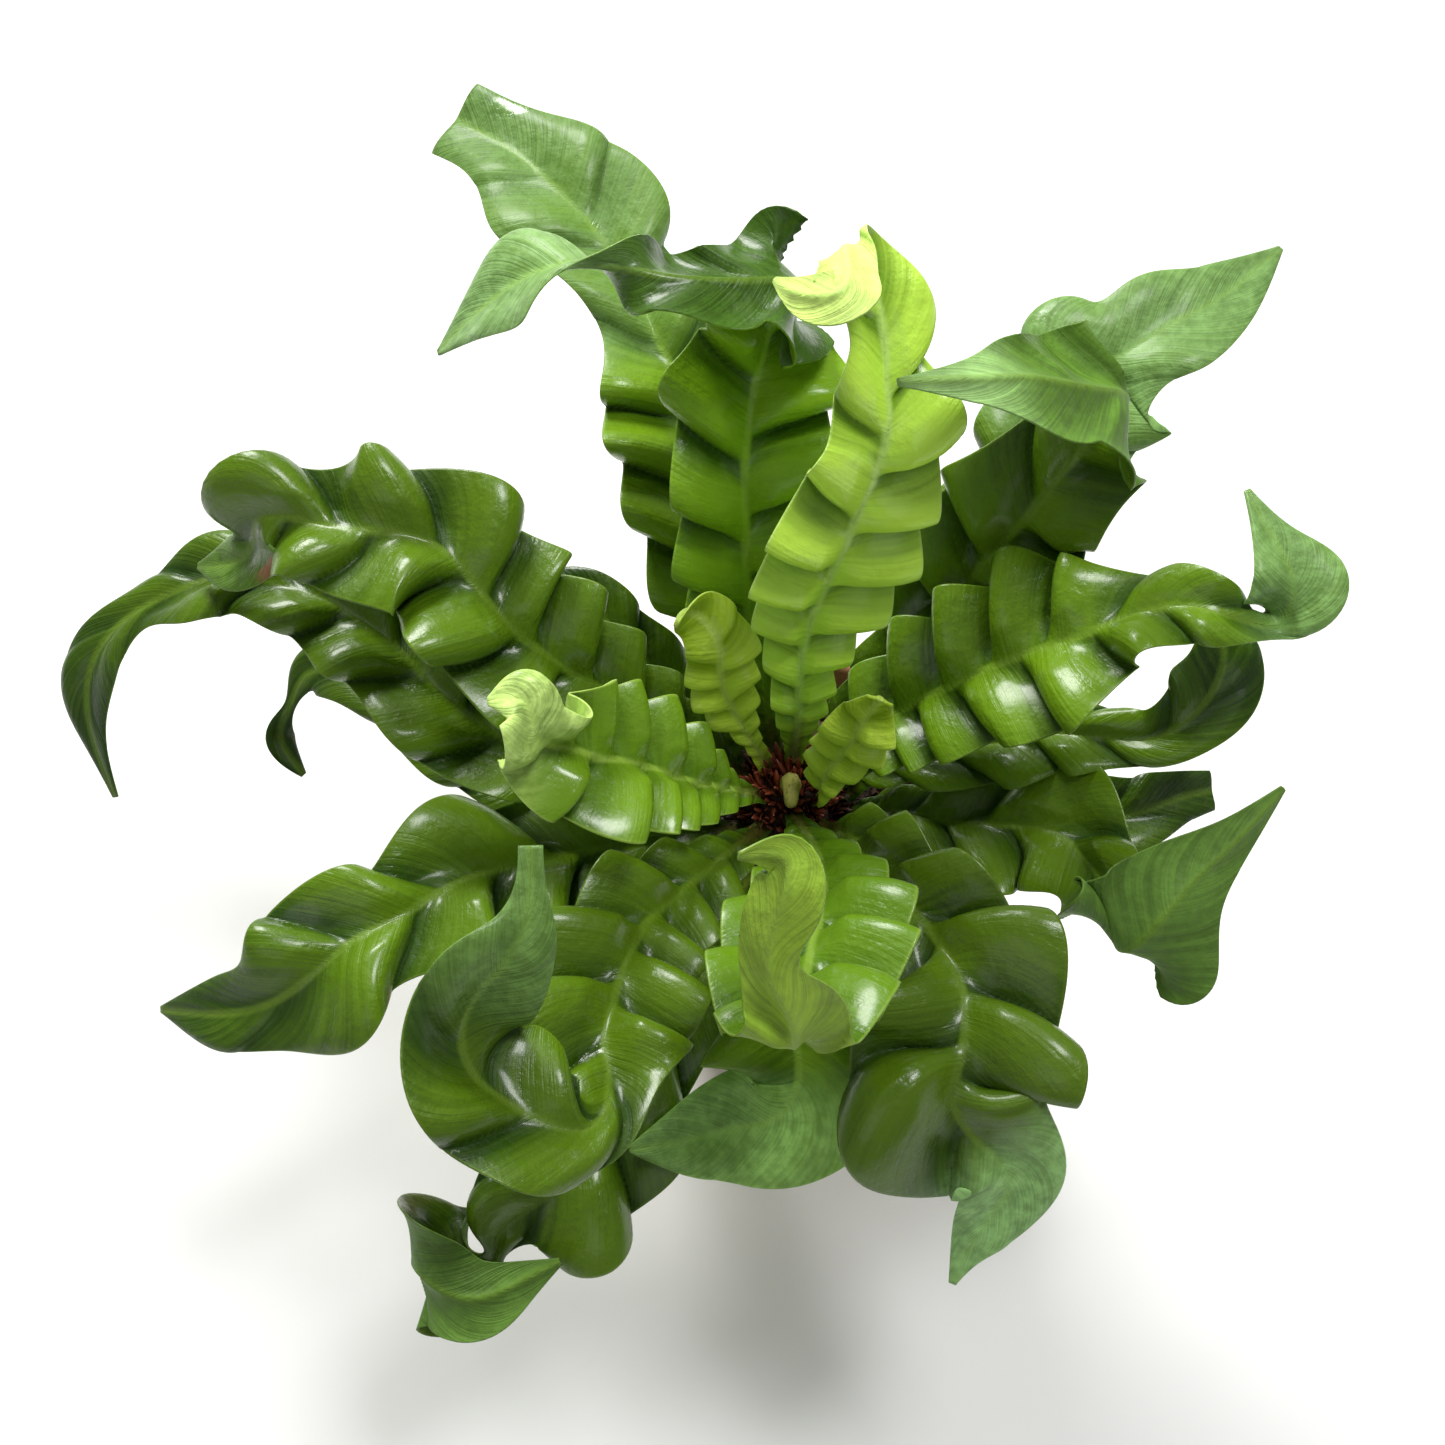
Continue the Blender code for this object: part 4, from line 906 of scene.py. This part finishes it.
def crown_dome():
    """The crown itself: a dome with a lumpy side, straight down into the mix, closed at each pole.

    Its rings lie at drops that grow with the ring's number to the 1.5. The radius loses up to
    4 % to a sine of nine times the angle, which winds round as it goes down.
    """
    drops = (np.arange(1, 41)[:, None] / 40) ** 1.5 * CROWN_SHOULDER
    angles = np.linspace(0, 2 * np.pi, 96, endpoint=False)[None, :]
    bumps = 1 - 0.04 * (0.5 + 0.5 * np.sin(9 * angles + 900 * drops))
    dome = around(crown_radius_at(drops) * bumps, angles, CROWN_TOP - drops)
    foot = dome[-1:].copy()
    foot[..., 2] = MIX_TOP + FIT_GAP
    rings = np.concatenate([dome, foot])[::-1]
    made = mixed_surface("fine_crown", *closed_rows(rings, MIX_TOP + FIT_GAP, CROWN_TOP))
    look, tree, shader = principled("crown_dark", Roughness=0.8)
    grain = tree.noise(tree.stretched(tree.place(), (1.0, 1.0, 0.3)), 900.0, 3.0)
    tree.put(shader, "Base Color", tree.mix(tree.ramp(grain, 0.35, 0.7), *CROWN_COLOURS))
    tree.relief(shader, 0.8, 0.0006, grain)
    wear(made, look)
    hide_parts("crown")


def bud():
    """The youngest frond, rolled up: a tapering tube that hooks over, a circle swept on a bend.

    The path's tilt grows from 15 degrees backwards with the share of the length to the 1.6, by
    235 degrees in all. Seven shallow ribs run up the tube and fade towards its tip.
    """
    rings, segments = 70, 40
    s = np.linspace(0.0, 1.0, rings)
    bend = np.radians(-15 + 235 * s**1.6)
    step = BUD_LENGTH * (1 - 0.45 * s) / rings
    forward = np.cumsum(np.sin(bend) * step)
    height = np.cumsum(np.cos(bend) * step) - step[0]
    radius = BUD_RADIUS * (1 - 0.50 * s) * np.minimum(1, np.sqrt((s + 0.02) / 0.12)) + 0.0002
    radius = radius * np.clip((1.002 - s) / 0.05, 0.02, 1) ** 0.5
    line = np.stack([0 * s, -0.002 - forward, CROWN_TOP + 2 * FIT_GAP + height], axis=1)
    tangent = unit(np.gradient(line, axis=0))
    side = np.array([1.0, 0.0, 0.0])
    normal = np.cross(side, tangent)
    turn = 2 * np.pi * np.arange(segments) / segments
    ribs = 1 + 0.05 * np.cos(7 * turn)[None, :] * (1 - s[:, None])
    ring = np.cos(turn)[None, :, None] * side - np.sin(turn)[None, :, None] * normal[:, None]
    rows = line[:, None] + (radius[:, None] * ribs)[..., None] * ring
    points, four, three = closed_rows(rows, 0.0, 0.0)
    points[-2:] = line[[0, -1]]
    made = mixed_surface("fine_crozier", points, four, three)
    look, tree, shader = principled("bud_green", Roughness=0.5)
    place = tree.place()
    fuzz = tree.noise(place, 1200.0, 3.0)
    tall = tree.node("ShaderNodeSeparateXYZ", Vector=place).outputs["Z"]
    low = tree.ramp(tall, CROWN_TOP, CROWN_TOP + 0.006, 0.7, 0.0)
    brown = tree.math("MAXIMUM", low, tree.ramp(fuzz, 0.56, 0.70, 0.0, 0.8))
    tree.put(shader, "Base Color", tree.mix(brown, *BUD_COLOURS))
    tree.relief(shader, 0.5, 0.0003, fuzz)
    wear(made, look)
    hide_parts("crozier")


def closed_rows(rows, first_height, last_height):
    """Rings from the bottom up joined by faces and closed by a fan at each end, on the Z axis."""
    segments = rows.shape[1]
    index = np.arange(rows.shape[0] * segments).reshape(-1, segments)
    after = np.roll(index, -1, axis=1)
    four = quads(index[:-1], after[:-1], after[1:], index[1:])
    last = index.size
    low = np.stack([np.full(segments, last), after[0], index[0]], axis=1)
    high = np.stack([np.full(segments, last + 1), index[-1], after[-1]], axis=1)
    points = np.vstack([rows.reshape(-1, 3), [[0, 0, first_height], [0, 0, last_height]]])
    return points, four, np.concatenate([low, high])


def turned(profile, segments, ripple=0.0):
    """A closed profile carried round Z, with fine throwing rings: a small sine of the height."""
    profile = np.array(profile)
    height = profile[:, 1:2]
    angles = 2 * np.pi * np.arange(segments) / segments
    wave = np.sin(height * 2100.0) * np.sin(height * 173.0 + 1.0)
    radius = profile[:, :1] + ripple * wave * (1 + 0.4 * np.sin(angles + height * 60))
    return closed_rows(around(radius, angles, height), profile[0, 1], profile[-1, 1])


def mixed(name, points, four, three):
    """An object of four and three cornered faces."""
    mesh = bpy.data.meshes.new(name)
    mesh.from_pydata(points.tolist(), [], four.tolist() + three.tolist())
    return added(name, mesh)


def smoothly_shaded(mesh):
    """Shades the mesh smooth but for its sharp edges."""
    mesh.shade_smooth()
    mesh.set_sharp_from_angle(angle=SHARP_ANGLE)


def mixed_surface(name, points, four, three):
    """A smooth object of four and three cornered faces, riding on the root body."""
    made = mixed(name, points, four, three)
    smoothly_shaded(made.data)
    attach(made, "root")
    return made


def softened(corners, size, steps=6):
    """A profile with each corner rounded: a short quadratic curve between points near it."""
    corners = np.array(corners, float)
    out = [corners[:1]]
    u = np.linspace(0, 1, steps)[:, None]
    for before, here, later in zip(corners[:-2], corners[1:-1], corners[2:]):
        back, on = before - here, later - here
        reach = min(size, 0.45 * np.linalg.norm(back), 0.45 * np.linalg.norm(on))
        start, end = here + unit(back) * reach, here + unit(on) * reach
        out.append((1 - u) ** 2 * start + 2 * u * (1 - u) * here + u**2 * end)
    out.append(corners[-1:])
    return np.concatenate(out)


def filled(profile, step):
    """The profile with extra points, so that no step is longer than this."""
    out = [profile[:1]]
    for a, b in zip(profile[:-1], profile[1:]):
        count = max(1, int(np.ceil(np.linalg.norm(b - a) / step)))
        out.append(a + (b - a) * (np.arange(1, count + 1) / count)[:, None])
    return np.concatenate(out)


def inner_radius(height):
    """Inside radius of the pot at this height: it grows evenly from the base to the rim."""
    slope = (POT_RIM / 2 - RIM_STEP - POT_BASE / 2) / POT_HEIGHT
    return POT_BASE / 2 + slope * height - POT_WALL


def fine_pot():
    """The pot: wall, rim band, foot and floor as one rounded profile, with its drain holes."""
    band = POT_HEIGHT - RIM_BAND
    body = inner_radius(band) + POT_WALL
    corners = [
        (FLOOR_MIDDLE, 0.0), (POT_BASE / 2, 0.0), (body, band), (POT_RIM / 2, band + 0.0006),
        (POT_RIM / 2, POT_HEIGHT), (inner_radius(POT_HEIGHT), POT_HEIGHT),
        (inner_radius(POT_FLOOR), POT_FLOOR), (FLOOR_MIDDLE, POT_FLOOR),
    ]
    profile = filled(softened(corners, POT_ROUNDING), 0.0016)
    made = mixed_surface("fine_pot", *turned(profile, 176, THROWING_RING))
    for k in range(DRAIN_HOLES):
        turn = np.radians(30 + 360 / DRAIN_HOLES * k)
        bore = [(DRAIN_HOLE / 2, -0.004), (DRAIN_HOLE / 2, 2 * POT_FLOOR)]
        points, four, three = turned(bore, 40)
        cutter = mixed("bore", points + around(DRAIN_RING / 2, turn, 0.0), four, three)
        hole = made.modifiers.new("drain", "BOOLEAN")
        hole.object = cutter
        graph = bpy.context.evaluated_depsgraph_get()
        mesh = bpy.data.meshes.new_from_object(made.evaluated_get(graph))
        made.modifiers.clear()
        made.data = mesh
        bpy.data.objects.remove(cutter, do_unlink=True)
    made.data.name = "fine_pot"
    smoothly_shaded(made.data)
    clay, tree, shader = principled("clay", Roughness=0.85)
    place = tree.place()
    tall = tree.node("ShaderNodeSeparateXYZ", Vector=place).outputs["Z"]
    broad = tree.noise(tree.stretched(place, (1.0, 1.0, 0.6)), 26.0, 5.0, 0.6)
    grit = tree.noise(place, 1400.0, 3.0, 0.6)
    rings = tree.noise(tree.stretched(place, (0.04, 0.04, 1.0)), 900.0, 2.0)
    base = tree.mix(tree.ramp(broad, 0.35, 0.65), *CLAY_COLOURS)
    bloom = tree.ramp(tree.noise(place, 60.0, 6.0, 0.7), 0.52, 0.75)
    base = tree.mix(tree.times(bloom, 0.55), base, CLAY_BLOOM)
    # Darker towards the bottom of the pot.
    darker_bottom = tree.ramp(tree.times(broad, 0.03, tall), 0.012, 0.040, 1.0, 0.0)
    base = tree.mix(tree.times(darker_bottom, 0.5), base, CLAY_BOTTOM)
    speck = tree.times(tree.ramp(grit, 0.62, 0.72), 0.35)
    tree.put(shader, "Base Color", tree.mix(speck, base, CLAY_SPECK))
    tree.put(shader, "Roughness", tree.ramp(broad, 0.3, 0.7, 0.78, 0.92))
    tree.relief(shader, 0.5, 0.0004, tree.times(grit, 0.6, rings))
    wear(made, clay)
    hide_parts("pot")


def lumps(name, places, sizes, stretch, tones):
    """Many small crumbs: a twelve-cornered ball for each, stretched, turned and knocked about."""
    golden = (1 + np.sqrt(5)) / 2
    pairs = [(a, b * golden) for b in (1, -1) for a in (-1, 1)]
    ball = [(a, b, 0) for a, b in pairs] + [(0, a, b) for a, b in pairs]
    ball = unit(np.array(ball + [(b, 0, a) for a, b in pairs], float))
    sides = np.array([
        (0, 11, 5), (0, 5, 1), (0, 1, 7), (0, 7, 10), (0, 10, 11), (1, 5, 9), (5, 11, 4),
        (11, 10, 2), (10, 7, 6), (7, 1, 8), (3, 9, 4), (3, 4, 2), (3, 2, 6), (3, 6, 8),
        (3, 8, 9), (4, 9, 5), (2, 4, 11), (6, 2, 10), (8, 6, 7), (9, 8, 1)])
    count = len(places)
    shape = ball[None] * (1 + 0.22 * CHANCE.normal(size=(count, 12, 1))) * stretch[:, None]
    axes = np.linalg.qr(CHANCE.normal(size=(count, 3, 3)))[0]
    points = places[:, None] + sizes[:, None, None] * np.einsum("nij,nkj->nki", axes, shape)
    faces = (sides[None] + 12 * np.arange(count)[:, None, None]).reshape(-1, 3)
    return surface(name, points.reshape(-1, 3), faces, {"tone": np.repeat(tones, 12)})


def potting_surface():
    """The mix: an uneven round top inside the rim, with bark crumbs and white grains on it.

    The top falls with the cube of the radius towards the wall. Two products of two sines of the
    angle and the radius make it uneven. Crumbs lie at random, evenly over the round.
    """
    edge = inner_radius(MIX_TOP - 0.002) - 0.0001
    low = inner_radius(POT_FLOOR + 0.004) - FIT_GAP
    share = np.linspace(0.02, 1.0, 46)[:, None]
    angles = (2 * np.pi * np.arange(150) / 150)[None, :]
    rough = 0.0006 * np.sin(11 * angles + 40 * share) * np.sin(7 * angles - 31 * share + 1)
    rough = rough + 0.0005 * np.sin(23 * angles + 17 * share + 2) * np.sin(50 * share + 3 * angles)
    top = MIX_TOP - 0.0012
    rows = np.concatenate([
        around(0.8 * low, angles, POT_FLOOR + FIT_GAP),
        around(low, angles, POT_FLOOR + 0.0045),
        around(share * edge, angles, top - MIX_FALL * share**3 + rough)[::-1],
    ])
    made = mixed_surface("fine_mix", *closed_rows(rows, POT_FLOOR + FIT_GAP, top))
    soil, tree, shader = principled("damp_mix", Roughness=0.95)
    crumbs = tree.noise(tree.place(), 420.0, 6.0, 0.65)
    tree.put(shader, "Base Color", tree.mix(tree.ramp(crumbs, 0.35, 0.7), *MIX_COLOURS))
    tree.relief(shader, 1.0, 0.0012, crumbs)
    wear(made, soil)
    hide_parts("potting_mix")
    for name, count, size, length, *colours in CRUMBS:
        reach = (edge - 0.0015) * np.sqrt(0.10 + 0.90 * CHANCE.random(count))
        turn = 2 * np.pi * CHANCE.random(count)
        places = around(reach, turn, MIX_TOP - 0.0014 - MIX_FALL * (reach / edge) ** 3)
        sizes = size * (0.5 + 0.8 * CHANCE.random(count))
        longest = length * (0.7 + 0.6 * CHANCE.random(count))
        stretch = np.stack([longest, np.ones(count), np.full(count, 0.55)], axis=1)
        bits = lumps(name, places, sizes, stretch, CHANCE.random(count))
        bits.data.shade_flat()
        look, tree, shader = principled(name + "_look", Roughness=0.85)
        share = tree.times(tree.noise(tree.place(), 900.0, 3.0), 0.6, tree.attribute("tone"))
        tree.put(shader, "Base Color", tree.mix(tree.ramp(share, 0.2, 1.3), *colours))
        wear(bits, look)


def studio():
    """A plain pale floor, a soft room, and soft square lights behind, above and in front."""
    mesh = bpy.data.meshes.new("floor")
    corners = [(-1, -1, 0), (1, -1, 0), (1, 1, 0), (-1, 1, 0)]
    mesh.from_pydata((FLOOR_REACH * np.array(corners)).tolist(), [], [(0, 1, 2, 3)])
    floor = added("floor", mesh)
    look, _, shader = principled("floor_pale", Roughness=0.9)
    shader.inputs["Base Color"].default_value = FLOOR_PALE
    mesh.materials.append(look)
    world = bpy.data.worlds.new("room")
    world.use_nodes = True
    background = world.node_tree.nodes["Background"]
    background.inputs["Color"].default_value = ROOM
    background.inputs["Strength"].default_value = ROOM_LIGHT
    bpy.context.scene.world = world
    for name, place, size, power, colour in LIGHTS:
        data = bpy.data.lights.new(name, "AREA")
        data.size = size
        data.energy = power
        data.color = colour
        made = added(name, data)
        made.location = place
        way = Vector(LIGHTS_AIM) - Vector(place)
        made.rotation_euler = way.to_track_quat("-Z", "Y").to_euler()


def camera():
    """The camera looks down at the crown from the front, 66 degrees above the horizon."""
    data = bpy.data.cameras.new("camera")
    data.lens = LENS
    data.sensor_width = SENSOR_WIDTH
    made = added("camera", data)
    made.location = (CAMERA_X, CAMERA_Y, CROWN_TOP + CAMERA_RISE)
    made.rotation_euler = (CAMERA_TILT, 0.0, 0.0)
    bpy.context.scene.camera = made


camera()
studio()
all_fronds()
crown_dome()
crown_scales()
bud()
fine_pot()
potting_surface()
bpy.context.scene.view_settings.view_transform = "Standard"
